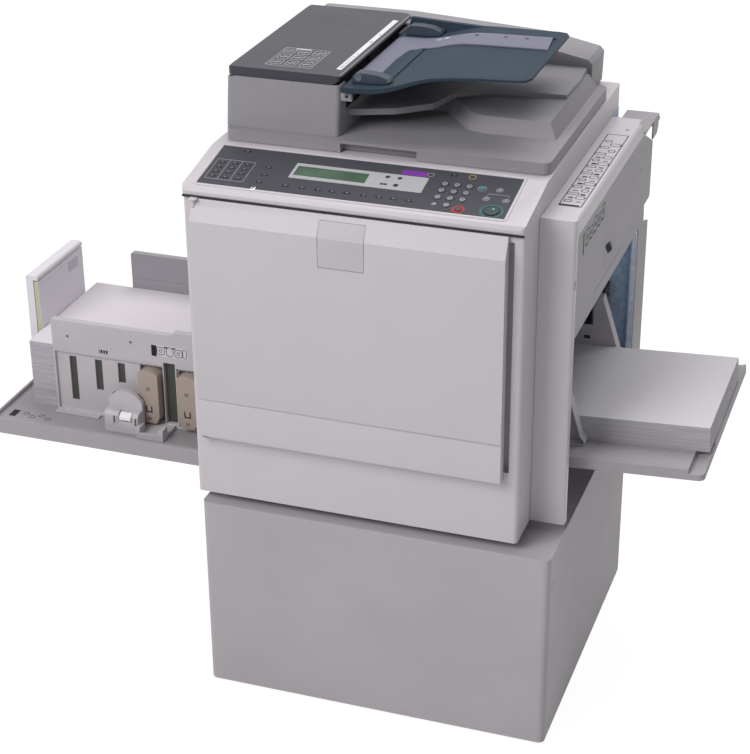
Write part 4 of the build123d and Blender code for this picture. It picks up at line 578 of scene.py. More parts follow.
# Inside: black and grey mouldings, green drum holder, bright perforated screen, clear glass, dull rubber
BLACK = MouldedPlastic("works_black", "black_plastic", "#202023", 0.5)
UNIT = MouldedPlastic("unit_abs", "unit_grey", "#6E7176", 0.5)
HOLDER = MouldedPlastic("drum_holder_green", "holder_green", "#5F8F86", 0.45)
CARTRIDGE = MouldedPlastic("cartridge_abs_black", "cartridge_black", "#26262A", 0.35)
SCREEN = EtchedScreen("drum_screen", "drum_steel", "#A7A9AD", 0.35, 0.9)
GLASS = FloatGlass("platen_float_glass", "clear_glass", "#E4F0EC", 0.04)
ROLLER = Rubber("roller_rubber_ground", "roller_rubber", "#2C2C2E", 0.75)
FOOT = Rubber("foot_rubber_ground", "foot_rubber", "#1E1E20", 0.8)

# CAD nodes that keep their own mesh, with the finish of each
FINISH_OF = {
    "rubber_feet": FOOT, "machine_frame": FRAME_ZINC, "power_inlet": BLACK, "feed_wall": BAY_WALL_PAINTED_LIGHT,
    "platen_glass": GLASS, "scanner_carriage": BLACK, "console_panel": FILM, "display_window": LCD,
    "adf_roller": ROLLER, "print_drum": SCREEN, "drum_holder": HOLDER, "ink_cartridge": CARTRIDGE,
    "pressure_roller": ROLLER, "feed_roller": ROLLER, "feed_head": BLACK, "master_unit": UNIT,
    "master_eject_box": UNIT, "stand_cabinet": CABINET,
}

# CAD nodes that a softened copy stands in for: finish, width of the rounded edges in mm and, where the upright
# corners are bent round, their radius in mm
SOFTENED = {
    "front_frame": (SHELL, 1.6), "front_door": (SHELL, 1.4), "left_cover": (PANEL, 0.8),
    "rear_cover": (PANEL, 0.8), "feed_front_cover": (SHELL, 1.5), "feed_top_cover": (SHELL, 1.2),
    "feed_side_cover": (PANEL, 0.7), "feed_rear_bracket": (PANEL, 0.7), "scanner_housing": (SHELL, 1.5),
    "console_housing": (SHELL, 1.5), "platen_cover": (SHELL_GREY, 2.6), "adf_housing": (SHELL_GREY, 2.4),
    "adf_cover": (SHELL_DARK, 2.0, 12.0), "original_tray": (TRAY, 1.0), "original_guide_front": (GUIDE, 0.8),
    "original_guide_rear": (GUIDE, 0.8), "feed_table": (TABLE, 1.0), "feed_pad_front": (PLATE, 0.8),
    "feed_pad_rear": (PLATE, 0.8), "delivery_table": (TABLE, 1.2), "delivery_plate_front": (PLATE, 0.8),
    "delivery_plate_rear": (PLATE_PAINTED_SHADE, 0.8), "delivery_wing_left": (WING, 1.4),
    "delivery_wing_right": (WING, 1.4), "plate_lever": (LEVER, 0.8), "delivery_end_plate": (FENCE, 1.0),
}


# Surfaces

@dataclass(frozen=True)
class Mesh:
    """Points in millimetres and the faces between them."""

    points: np.ndarray
    faces: list[list[int]]


@dataclass(frozen=True)
class Seat:
    """A flat place on the machine: local x runs across it, y up it, and z stands off it."""

    origin: Triple
    across: Triple = (1.0, 0.0, 0.0)
    up: Triple = (0.0, 1.0, 0.0)

    def world(self, local: np.ndarray) -> np.ndarray:
        """Carries local points to the machine: origin plus x across, y up and z along their cross product.

        Args:
            local: Points in the seat's axes, with their coordinates last.

        Returns:
            The points in the machine's frame.
        """
        across, up = (np.array(axis, float) / np.linalg.norm(axis) for axis in (self.across, self.up))
        out = np.cross(across, up)
        return np.array(self.origin) + local[..., :1] * across + local[..., 1:2] * up + local[..., 2:] * out

    def moved(self, mesh: Mesh) -> Mesh:
        """Returns a mesh carried from local to the machine's place."""
        return Mesh(self.world(mesh.points), mesh.faces)


def front_seat(x: float, y: float, z: float) -> Seat:
    """Returns a place on an upright face that looks to the machine's front."""
    return Seat((x, y, z), (1, 0, 0), (0, 0, 1))


def right_seat(x: float, y: float, z: float) -> Seat:
    """Returns a place on an upright face that looks to the machine's right."""
    return Seat((x, y, z), (0, 1, 0), (0, 0, 1))


def grid(points: np.ndarray) -> Mesh:
    """Skins rings of points with quads, each joining two neighbours of a ring to the same two of the next.

    Args:
        points: The rings, of shape (rings, points in each, 3).

    Returns:
        The surface, closed round the rings and open at its ends.
    """
    rows, columns = points.shape[:2]
    row = np.arange(rows - 1)[:, None] * columns
    column = np.arange(columns)[None, :]
    following = (column + 1) % columns
    quads = np.stack([row + column, row + following, row + columns + following, row + columns + column], axis=-1)
    return Mesh(points.reshape(-1, 3), quads.reshape(-1, 4).tolist())


def capped(points: np.ndarray) -> Mesh:
    """Skins rings of points and closes the first and the last ring with one flat face each.

    Args:
        points: The rings, of shape (rings, points in each, 3).

    Returns:
        The closed surface.
    """
    skin = grid(points)
    rows, columns = points.shape[:2]
    first = list(range(columns - 1, -1, -1))
    last = list(range((rows - 1) * columns, rows * columns))
    return Mesh(skin.points, skin.faces + [first, last])


def joined(meshes: list[Mesh]) -> Mesh:
    """Puts several meshes into one.

    Args:
        meshes: The meshes, in order.

    Returns:
        One mesh, each mesh's faces counting on from the points before it.
    """
    offset, faces = 0, []
    for mesh in meshes:
        faces += [[index + offset for index in face] for face in mesh.faces]
        offset += len(mesh.points)
    return Mesh(np.concatenate([mesh.points for mesh in meshes]), faces)


def rounded_box(width: float, height: float, corner: float, steps: int = 5) -> np.ndarray:
    """Outline of a rectangle with round corners: each corner's centre plus its radius turned through 90 degrees.

    Args:
        width: Size along x.
        height: Size along y.
        corner: Radius of the corners.
        steps: Points round each corner.

    Returns:
        Anticlockwise points round the origin, of shape (points, 2).
    """
    angle = np.linspace(0, math.pi / 2, steps)
    turn = np.arange(4)[:, None] * math.pi / 2 + angle[None, :]
    sign = np.array([(1, 1), (-1, 1), (-1, -1), (1, -1)])[:, None, :]
    centre = sign * np.array([width / 2 - corner, height / 2 - corner])
    return (centre + corner * np.stack([np.cos(turn), np.sin(turn)], axis=-1)).reshape(-1, 2)


def soft_outline(corners: Rows, cut: float, steps: int = 5) -> np.ndarray:
    """Outline through corners that are rounded: at each, a parabola runs from cut before it to cut after it.

    Args:
        corners: The corners' x and y, in order.
        cut: Distance from a corner to the ends of its parabola, or 0.45 of the side where that is less.
        steps: Points on each parabola.

    Returns:
        The outline's points, of shape (points, 2).
    """
    points = np.array(corners, float)
    before = np.roll(points, 1, axis=0) - points
    after = np.roll(points, -1, axis=0) - points
    reach = [np.minimum(cut, np.linalg.norm(side, axis=1) * 0.45)[:, None] for side in (before, after)]
    start = points + before / np.linalg.norm(before, axis=1)[:, None] * reach[0]
    end = points + after / np.linalg.norm(after, axis=1)[:, None] * reach[1]
    t = np.linspace(0, 1, steps)[None, :, None]
    curve = (1 - t) ** 2 * start[:, None] + 2 * t * (1 - t) * points[:, None] + t ** 2 * end[:, None]
    return curve.reshape(-1, 2)


def inset(outline: np.ndarray, distance: float) -> np.ndarray:
    """Moves an anticlockwise outline inwards: each point goes square to the line between its neighbours.

    Args:
        outline: Points of shape (points, 2).
        distance: How far they go; outwards where it is below 0.

    Returns:
        The moved outline.
    """
    side = np.roll(outline, -1, axis=0) - np.roll(outline, 1, axis=0)
    side /= np.maximum(np.linalg.norm(side, axis=1), 1e-9)[:, None]
    return outline + distance * np.stack([-side[:, 1], side[:, 0]], axis=-1)


def ring_at(outline: np.ndarray, height: float) -> np.ndarray:
    """Gives an outline a height."""
    return np.column_stack([outline, np.full(len(outline), height)])


def slab(outline: np.ndarray, low: float, high: float, edge: float, steps: int = 4) -> Mesh:
    """Plate on an outline with a rounded top edge.

    Args:
        outline: Anticlockwise points of the plate's edge.
        low: Height of its underside.
        high: Height of its top.
        edge: Radius of the top edge; a quarter circle takes the wall over into the top.
        steps: Rings along that quarter circle.

    Returns:
        The closed plate.
    """
    rings = [ring_at(outline, low)]
    for angle in np.linspace(0, math.pi / 2, steps):
        rings.append(ring_at(inset(outline, edge * (1 - math.cos(angle))), high - edge * (1 - math.sin(angle))))
    return capped(np.stack(rings))


def frame_ring(outer: np.ndarray, inner: np.ndarray, low: float, high: float, edge: float = 0.2) -> Mesh:
    """Flat frame between two outlines: its section runs up outside, over and down inside.

    Args:
        outer: Anticlockwise points of the outer edge.
        inner: As many points of the inner edge.
        low: Height of its underside.
        high: Height of its top.
        edge: Size of the chamfer along both top edges.

    Returns:
        The closed frame.
    """
    rings = [ring_at(outer, low), ring_at(outer, high - edge), ring_at(inset(outer, edge), high),
             ring_at(inset(inner, -edge), high), ring_at(inner, high - edge), ring_at(inner, low)]
    return grid(np.stack(rings + [rings[0]]))


def lathe(profile: Rows, segments: int = 40) -> Mesh:
    """Turned piece: a profile carried round the local z axis.

    Args:
        profile: Radius and height of each point of the profile.
        segments: Steps round the axis.

    Returns:
        The turned surface.
    """
    turn = np.linspace(0, 2 * math.pi, segments, endpoint=False)
    radius, height = np.array(profile, float).T[:, :, None]
    return grid(np.stack([radius * np.cos(turn), radius * np.sin(turn), height + 0 * turn], axis=-1))


def band(outer: float, inner: float, low: float, high: float, segments: int) -> Mesh:
    """Returns a flat round band: a turned rectangle from inner to outer radius and from low to high."""
    return lathe([(inner, low), (outer, low), (outer, high), (inner, high), (inner, low)], segments)


def bar(path: np.ndarray, half_width: float, half_height: float, closed: bool = False) -> Mesh:
    """Thin bar of oblong section carried along a flat path, square to it at each point.

    Args:
        path: The middle line's points, of shape (points, 3).
        half_width: Half of the section's width.
        half_height: Half of its height.
        closed: Whether the path joins up with its start.

    Returns:
        The closed bar.
    """
    run = np.roll(path, -1, axis=0) - np.roll(path, 1, axis=0) if closed else np.gradient(path, axis=0)
    run /= np.linalg.norm(run, axis=1)[:, None]
    side = np.stack([-run[:, 1], run[:, 0], np.zeros(len(path))], axis=-1)
    lift = np.array([0.0, 0.0, half_height])
    section = [(1, -1), (1, 1), (-1, 1), (-1, -1)]
    rings = np.stack([path + a * half_width * side + b * lift for a, b in section], axis=1)
    return grid(np.concatenate([rings, rings[:1]])) if closed else capped(rings)


def tiles(rows: Rows, lift: float = 0.2) -> Mesh:
    """Returns thin plates side by side; a row is a plate's middle x and y, width, height and corner radius."""
    return joined([slab(rounded_box(w, h, r, 3) + np.array([x, y]), SUNK, lift, 0.05, 2) for x, y, w, h, r in rows])


def outlines(rows: Rows, line: float = 0.8, lift: float = 0.2) -> Mesh:
    """Returns thin frames on rows like those of tiles, each an outline and its own inset by the line's width."""
    outer = [rounded_box(w, h, r, 4) + np.array([x, y]) for x, y, w, h, r in rows]
    return joined([frame_ring(path, inset(path, line), SUNK, lift, 0.05) for path in outer])


def along(points: Rows, count: int) -> np.ndarray:
    """Spaces points evenly by length along a line.

    Args:
        points: The line's corners.
        count: How many points to space.

    Returns:
        The points, each found by straight interpolation over the length run so far.
    """
    line = np.array(points, float)
    length = np.concatenate([[0.0], np.cumsum(np.linalg.norm(np.diff(line, axis=0), axis=1))])
    at = np.linspace(0, length[-1], count)
    return np.stack([np.interp(at, length, column) for column in line.T], axis=-1)


def ream(outline: np.ndarray, low: float, high: float, layers: int, stray: float) -> Mesh:
    """Stack of sheets that lie a little unevenly.

    Args:
        outline: Anticlockwise points of one sheet.
        low: Height of the lowest sheet.
        high: Height of the top sheet.
        layers: Bundles that the stack is drawn with.
        stray: How far a bundle lies back at most; it follows two sine waves of unlike length over the bundles.

    Returns:
        The closed stack, one step in the wall per bundle.
    """
    index = np.arange(layers)
    back = stray * (0.5 + 0.3 * np.sin(index * 2.4) + 0.2 * np.sin(index * 5.7 + 1.0))
    levels = np.linspace(low, high, layers + 1)
    rings = [ring_at(inset(outline, depth), z) for depth, pair in zip(back, zip(levels, levels[1:])) for z in pair]
    return capped(np.stack(rings))


# Placing and softening pieces

# Angle above which an edge is shaded sharp, and above which soften rounds it
SHARP_ANGLE = math.radians(38)
ROUNDED_ANGLE = math.radians(32)

# Upright corners that soften bends round: the chamfer that the CAD node has, in mm, and where the cuts stand in the
# corner's square, as shares of its side counted from the outside
CORNER_CHAMFER = 3.0
CORNER_SHARES = (0.5, 0.73, 1.0)


class Assembly:
    """A sub-assembly of the machine: it makes pieces, dresses them and puts them on a body."""

    body = "machine"

    def add(self, name: str, mesh: Mesh, finish: Finish, body: str | None = None,
            replaces: tuple[str, ...] = ()) -> bpy.types.Object:
        """Makes a piece from a mesh in millimetres.

        Args:
            name: The piece's name.
            mesh: Its points and faces.
            finish: Its finish.
            body: The CAD body that it rides on, or None for the assembly's own.
            replaces: CAD nodes that it stands for.

        Returns:
            The finished object.
        """
        data = bpy.data.meshes.new(name)
        data.from_pydata((mesh.points * MM).tolist(), [], mesh.faces)
        work = bmesh.new()
        work.from_mesh(data)
        bmesh.ops.remove_doubles(work, verts=work.verts, dist=1e-7)
        bmesh.ops.recalc_face_normals(work, faces=work.faces)
        work.to_mesh(data)
        work.free()
        return self.place(name, data, finish, body or self.body, replaces)

    def place(self, name: str, data: bpy.types.Mesh, finish: Finish, body: str,
              replaces: tuple[str, ...] = ()) -> bpy.types.Object:
        """Wraps finished mesh data in an object that rides on a body and has its finish.

        Args:
            name: The piece's name.
            data: Its mesh, in metres and in the machine's frame.
            finish: Its finish.
            body: The CAD body that it rides on.
            replaces: CAD nodes that it stands for.

        Returns:
            The finished object.
        """
        data.materials.clear()
        data.materials.append(finish.material())
        data.polygons.foreach_set("use_smooth", np.ones(len(data.polygons), bool))
        data.set_sharp_from_angle(angle=SHARP_ANGLE)
        piece = bpy.data.objects.new(name, data)
        bpy.context.scene.collection.objects.link(piece)
        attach(piece, body)
        if replaces:
            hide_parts(*replaces)
        LOG.info("%s: %d faces on %s", name, len(data.polygons), body)
        return piece

    def tile(self, name: str, seat: Seat, rows: Rows, finish: Finish, body: str | None = None,
             lift: float = 0.2) -> None:
        """Puts thin plates, given as rows for tiles, on a seat of the machine."""
        self.add(name, seat.moved(tiles(rows, lift)), finish, body)

    def outline(self, name: str, seat: Seat, rows: Rows, finish: Finish, body: str | None = None,
                line: float = 0.8) -> None:
        """Puts thin frames, given as rows for outlines, on a seat of the machine."""
        self.add(name, seat.moved(outlines(rows, line)), finish, body)

    def soften(self, node: str, finish: Finish, edge: float, corner: float = 0.0) -> bpy.types.Object:
        """Stands a copy with rounded edges in for a rigid CAD node.

        Args:
            node: The node's name.
            finish: Its finish.
            edge: Width of the edge rounding in millimetres.
            corner: Radius of the upright corners at the ends of the node's box, or 0 to leave them.

        Returns:
            The copy, with its flat faces joined up and a live bevel.
        """
        data = frame["nodes"][node].data.copy()
        work = bmesh.new()
        work.from_mesh(data)
        bmesh.ops.remove_doubles(work, verts=work.verts, dist=1e-6)
        bmesh.ops.dissolve_limit(work, angle_limit=math.radians(0.5), verts=work.verts, edges=work.edges)
        if corner:
            self.cut_corners(work, corner)
        work.to_mesh(data)
        work.free()
        if corner:
            self.bend_corners(data, corner)
        piece = self.place(node + "_shell", data, finish, BODY_OF[node], (node,))
        bevel = piece.modifiers.new("edge", "BEVEL")
        bevel.width = edge * MM
        bevel.segments = 2
        bevel.limit_method = "ANGLE"
        bevel.angle_limit = ROUNDED_ANGLE
        bevel.harden_normals = True
        return piece

    def cut_corners(self, work: bmesh.types.BMesh, radius: float) -> None:
        """Cuts a mesh along planes that fan out the squares at the four upright corners of its box.

        Args:
            work: The mesh in metres.
            radius: Side of the squares in millimetres.
        """
        points = np.array([vert.co for vert in work.verts])
        low, high, size = points.min(0), points.max(0), radius * MM
        for axis in (0, 1):
            square = np.eye(3)[axis]
            for share in CORNER_SHARES:
                for at in (low[axis] + size * share, high[axis] - size * share):
                    whole = work.verts[:] + work.edges[:] + work.faces[:]
                    bmesh.ops.bisect_plane(work, geom=whole, plane_co=square * at, plane_no=square)

    def bend_corners(self, data: bpy.types.Mesh, radius: float) -> None:
        """Bends the chamfered upright corners of a mesh's box into round ones.

        A vertex v in a corner's square keeps its direction from the square's inner corner, and its distance becomes
        the largest of |vx|, |vy| and (|vx| + |vy|) r / (2 r - chamfer), which is r all along the chamfered outline.

        Args:
            data: The mesh in metres.
            radius: Radius of the corners in millimetres.
        """
        flat = np.empty(3 * len(data.vertices))
        data.vertices.foreach_get("co", flat)
        points = flat.reshape(-1, 3)
        low, high, size = points.min(0), points.max(0), radius * MM
        offset = points[:, :2] - np.clip(points[:, :2], low[:2] + size, high[:2] - size)
        reach = np.abs(offset)
        norm = np.maximum(reach.max(1), reach.sum(1) * radius / (2 * radius - CORNER_CHAMFER))
        factor = np.where(reach.min(1) > 0, norm / np.maximum(np.hypot(*offset.T), 1e-9), 1.0)
        points[:, :2] += offset * (factor - 1)[:, None]
        data.vertices.foreach_set("co", points.ravel())
        data.update()


# The studio

@dataclass(frozen=True)
class Lamp:
    """One soft lamp: where it stands, what it is aimed at, how wide and how strong it is."""

    name: str
    stands: Triple
    aimed: Triple
    width: float
    power: float

    def hang(self) -> None:
        """Hangs the lamp, its face turned to what it is aimed at."""
        data = bpy.data.lights.new(self.name, "AREA")
        data.shape = "SQUARE"
        data.size = self.width
        data.energy = self.power
        lamp = bpy.data.objects.new(self.name, data)
        lamp.location = self.stands
        x, y, z = np.array(self.stands) - np.array(self.aimed)
        lamp.rotation_euler = (math.atan2(math.hypot(x, y), z), 0.0, math.atan2(x, -y))
        bpy.context.scene.collection.objects.link(lamp)


@dataclass
class Studio:
    """White sweep, soft lamps and the camera that took the photograph; lengths in metres, angles in degrees."""

    azimuth: float = 19.31
    elevation: float = 26.80
    roll: float = -0.49
    stands: Triple = (1.1147, -3.1476, 2.1849)
    lens: float = 91.6
    sensor: float = 36.0
    clip_end: float = 60.0
    floor_half: float = 9.0
    surroundings: float = 0.26
    floor_glow: float = 1.14
    floor_share: float = 0.84
    lamps: tuple[Lamp, ...] = (Lamp("key", (-2.0, -4.0, 4.3), (0.0, -0.2, 0.7), 3.0, 190.0),
                               Lamp("fill", (3.6, -3.4, 2.6), (0.2, 0.0, 0.6), 3.0, 8.0),
                               Lamp("top", (0.4, 1.6, 4.2), (0.0, 0.0, 0.9), 3.0, 85.0))

    def build(self) -> None:
        """Sets up the view, the lamps, the floor and the background."""
        scene = bpy.context.scene
        scene.view_settings.view_transform = "Standard"
        self.camera(scene)
        for lamp in self.lamps:
            lamp.hang()
        self.background(scene)
        self.floor()

    def camera(self, scene: bpy.types.Scene) -> None:
        """Places the camera: its right, up and back axes are worked out from the three angles.

        Args:
            scene: The scene that is seen through it.
        """
        a, e, r = (math.radians(v) for v in (self.azimuth, self.elevation, self.roll))
        ahead = -np.array([math.sin(a) * math.cos(e), -math.cos(a) * math.cos(e), math.sin(e)])
        right = np.array([math.cos(a), math.sin(a), 0.0])
        up = np.cross(right, ahead)
        rolled = math.cos(r) * right + math.sin(r) * up
        upright = -math.sin(r) * right + math.cos(r) * up
        data = bpy.data.cameras.new("camera")
        data.lens = self.lens
        data.sensor_width = self.sensor
        data.clip_end = self.clip_end
        camera = bpy.data.objects.new("camera", data)
        turn = np.eye(4)
        turn[:3, :3] = np.stack([rolled, upright, -ahead], axis=1)
        turn[:3, 3] = self.stands
        camera.matrix_world = Matrix(turn.tolist())
        scene.collection.objects.link(camera)
        scene.camera = camera

    def seen(self, tree: Tree) -> Socket:
        """Finds the rays that show the background: from the camera, off gloss or through glass.

        Args:
            tree: The nodes that need to know.

        Returns:
            A socket that is 1 for those rays and 0 for the rest.
        """
        path = add(tree, "ShaderNodeLightPath").outputs
        pair = add(tree, "ShaderNodeMath", {0: path["Is Camera Ray"], 1: path["Is Glossy Ray"]}, operation="MAXIMUM")
        return add(tree, "ShaderNodeMath", {0: pair.outputs["Value"], 1: path["Is Transmission Ray"]},
                   operation="MAXIMUM").outputs["Value"]

    def background(self, scene: bpy.types.Scene) -> None:
        """Lights the scene evenly from all sides, and shows pure white behind it.

        Args:
            scene: The scene that gets the background.
        """
        world = bpy.data.worlds.new("studio")
        world.use_nodes = True
        scene.world = world
        tree = world.node_tree
        tree.nodes.clear()
        even = add(tree, "ShaderNodeBackground", {"Color": linear("#F4F5FA"), "Strength": self.surroundings})
        white = add(tree, "ShaderNodeBackground", {"Color": linear("#FFFFFF"), "Strength": 1.0})
        mix = add(tree, "ShaderNodeMixShader", {0: self.seen(tree), 1: even.outputs["Background"],
                                                2: white.outputs["Background"]})
        add(tree, "ShaderNodeOutputWorld", {"Surface": mix.outputs["Shader"]})

    def floor(self) -> None:
        """Lays a pale floor that keeps a part of the machine's shadow."""
        data = bpy.data.meshes.new("floor")
        half = self.floor_half
        data.from_pydata([(-half, -half, 0), (half, -half, 0), (half, half, 0), (-half, half, 0)], [], [(0, 1, 2, 3)])
        made = bpy.data.materials.new("floor_white")
        made.use_nodes = True
        tree = made.node_tree
        tree.nodes.clear()
        matt = add(tree, "ShaderNodeBsdfDiffuse", {"Color": linear("#E8E8E8")})
        white = add(tree, "ShaderNodeEmission", {"Color": linear("#FFFFFF"), "Strength": self.floor_glow})
        share = add(tree, "ShaderNodeMath", {0: self.seen(tree), 1: self.floor_share}, operation="MULTIPLY")
        mix = add(tree, "ShaderNodeMixShader", {0: share.outputs["Value"], 1: matt.outputs["BSDF"],
                                                2: white.outputs["Emission"]})
        add(tree, "ShaderNodeOutputMaterial", {"Surface": mix.outputs["Shader"]})
        data.materials.append(made)
        floor = bpy.data.objects.new("floor", data)
        bpy.context.scene.collection.objects.link(floor)


# Sub-assemblies, in millimetres of the machine's frame

@dataclass
class Shell(Assembly):
    """The rigid covers, dressed and with their edges rounded, and the cabinet below."""

    plug_radius: float = 11.0
    plug_sink: float = 0.4
    plugs_at: Rows = ((-362.0, 334.0), (-350.0, 30.0))
    cabinet_box: Span = (-190.0, RIGHT_FACE, -389.0, 241.0)
    cabinet_edge: float = 12.0
    post_proud: float = 0.12
    post_sheet: float = 2.4
    post_z: Pair = (10.0, 399.9)
    door_face: float = -401.0
    badge_x: Pair = (52.0, 134.0)
    badge_z: tuple[float, ...] = (904.5, 906.0, 930.0, 954.0, 957.0, 959.5, 962.0, 984.0, 985.5)
    badge_thick: float = 0.12
    fold_z: float = 958.0
    band_run: Pair = (17.0, 36.0)
    seam_at: Triple = (101.5, -380.5, 994.3)
    seam_size: Triple = (600.0, 5.0, 3.3)

    def build(self) -> None:
        """Dresses every CAD node, then adds plugs, corner posts, the bare badge plate and painted shade in the seam."""
        for node, row in SOFTENED.items():
            self.soften(node, *row)
        for node, finish in FINISH_OF.items():
            data = frame["nodes"][node].data
            data.materials.clear()
            data.materials.append(finish.material())
        self.plugs()
        self.corners()
        self.badge()
        self.seam()

    def plugs(self) -> None:
        """Two black hole plugs in the cabinet's right side."""
        r = self.plug_radius
        profile = [(0, 0.1), (r * 0.7, 0.1), (r * 0.8, 0.5), (r, 0.1), (r, -1.0), (0, -1.0)]
        for index, at in enumerate(self.plugs_at):
            seat = right_seat(RIGHT_FACE - self.plug_sink, *at)
            self.add(f"cabinet_plug_{index}", seat.moved(lathe(profile, 32)), BLACK)

    def corners(self) -> None:
        """Corner posts of the cabinet, each a quarter turn of thin sheet that closes the fold from skirt to top."""
        x0, x1, y0, y1 = self.cabinet_box
        edge, turn = self.cabinet_edge, np.linspace(0, math.pi / 2, 9)
        quarter = np.stack([np.cos(turn), np.sin(turn)], axis=-1)
        section = np.concatenate([quarter * (edge + self.post_proud), quarter[::-1] * (edge - self.post_sheet)])
        posts = []
        for sx, sy in ((1, 1), (-1, 1), (-1, -1), (1, -1)):
            middle = np.array([x1 - edge if sx > 0 else x0 + edge, y1 - edge if sy > 0 else y0 + edge])
            outline = (middle + section * np.array([sx, sy]))[::sx * sy]
            posts.append(capped(np.stack([ring_at(outline, z) for z in self.post_z])))
        self.add("cabinet_corner_posts", joined(posts), CABINET)

    def badge(self) -> None:
        """Bare badge plate, bent over the door's top band, with a grey line round it.

        Its section is the door's own face line, up the face and back along the band, lifted by the plate's thickness.
        """
        (x0, x1), (back, up), thick = self.badge_x, self.band_run, self.badge_thick
        z = np.array(self.badge_z)
        y = self.door_face + np.maximum(0, z - self.fold_z) * back / up
        lift = np.array([0.0] + [thick] * (len(z) - 2) + [0.0])
        x = np.array([x0, x0 + 0.8, x1 - 0.8, x1])
        rise = np.minimum(lift[:, None], np.array([0.0, thick, thick, 0.0])[None, :])
        over = np.broadcast_to(x, rise.shape), np.broadcast_to(z[:, None], rise.shape)
        top = np.stack([over[0], y[:, None] - rise, over[1]], axis=-1)
        under = np.stack([over[0], np.broadcast_to(y[:, None] + 1.0, rise.shape), over[1]], axis=-1)
        plate = capped(np.concatenate([top, under[:, ::-1]], axis=1))
        self.add("front_door_badge", plate, BADGE, "front_door")
        fold = ((x0 + x1) / 2, self.door_face - 0.1, self.fold_z)
        half, below, above = (x1 - x0) / 2, -53.5, 29.5
        lower = ring_at(np.array([(-half, 0.0), (-half, below), (half, below), (half, 0.0)]), 0.0)
        upper = ring_at(np.array([(-half, 0.0), (-half, above), (half, above), (half, 0.0)]), 0.1)
        lines = [front_seat(*fold).moved(bar(lower, 0.45, 0.15)),
                 Seat(fold, (1, 0, 0), (0, back, up)).moved(bar(upper, 0.3, 0.15))]
        self.add("front_door_badge_border", joined(lines), BORDER, "front_door")

    def seam(self) -> None:
        """Black strip of painted shade that fills the gap between the body and the console above the door."""
        width, depth, height = self.seam_size
        strip = slab(rounded_box(width, depth, 1.0, 3), 0.0, height, 0.3)
        self.add("console_seam_painted_shade", Seat(self.seam_at).moved(strip), FOOT)


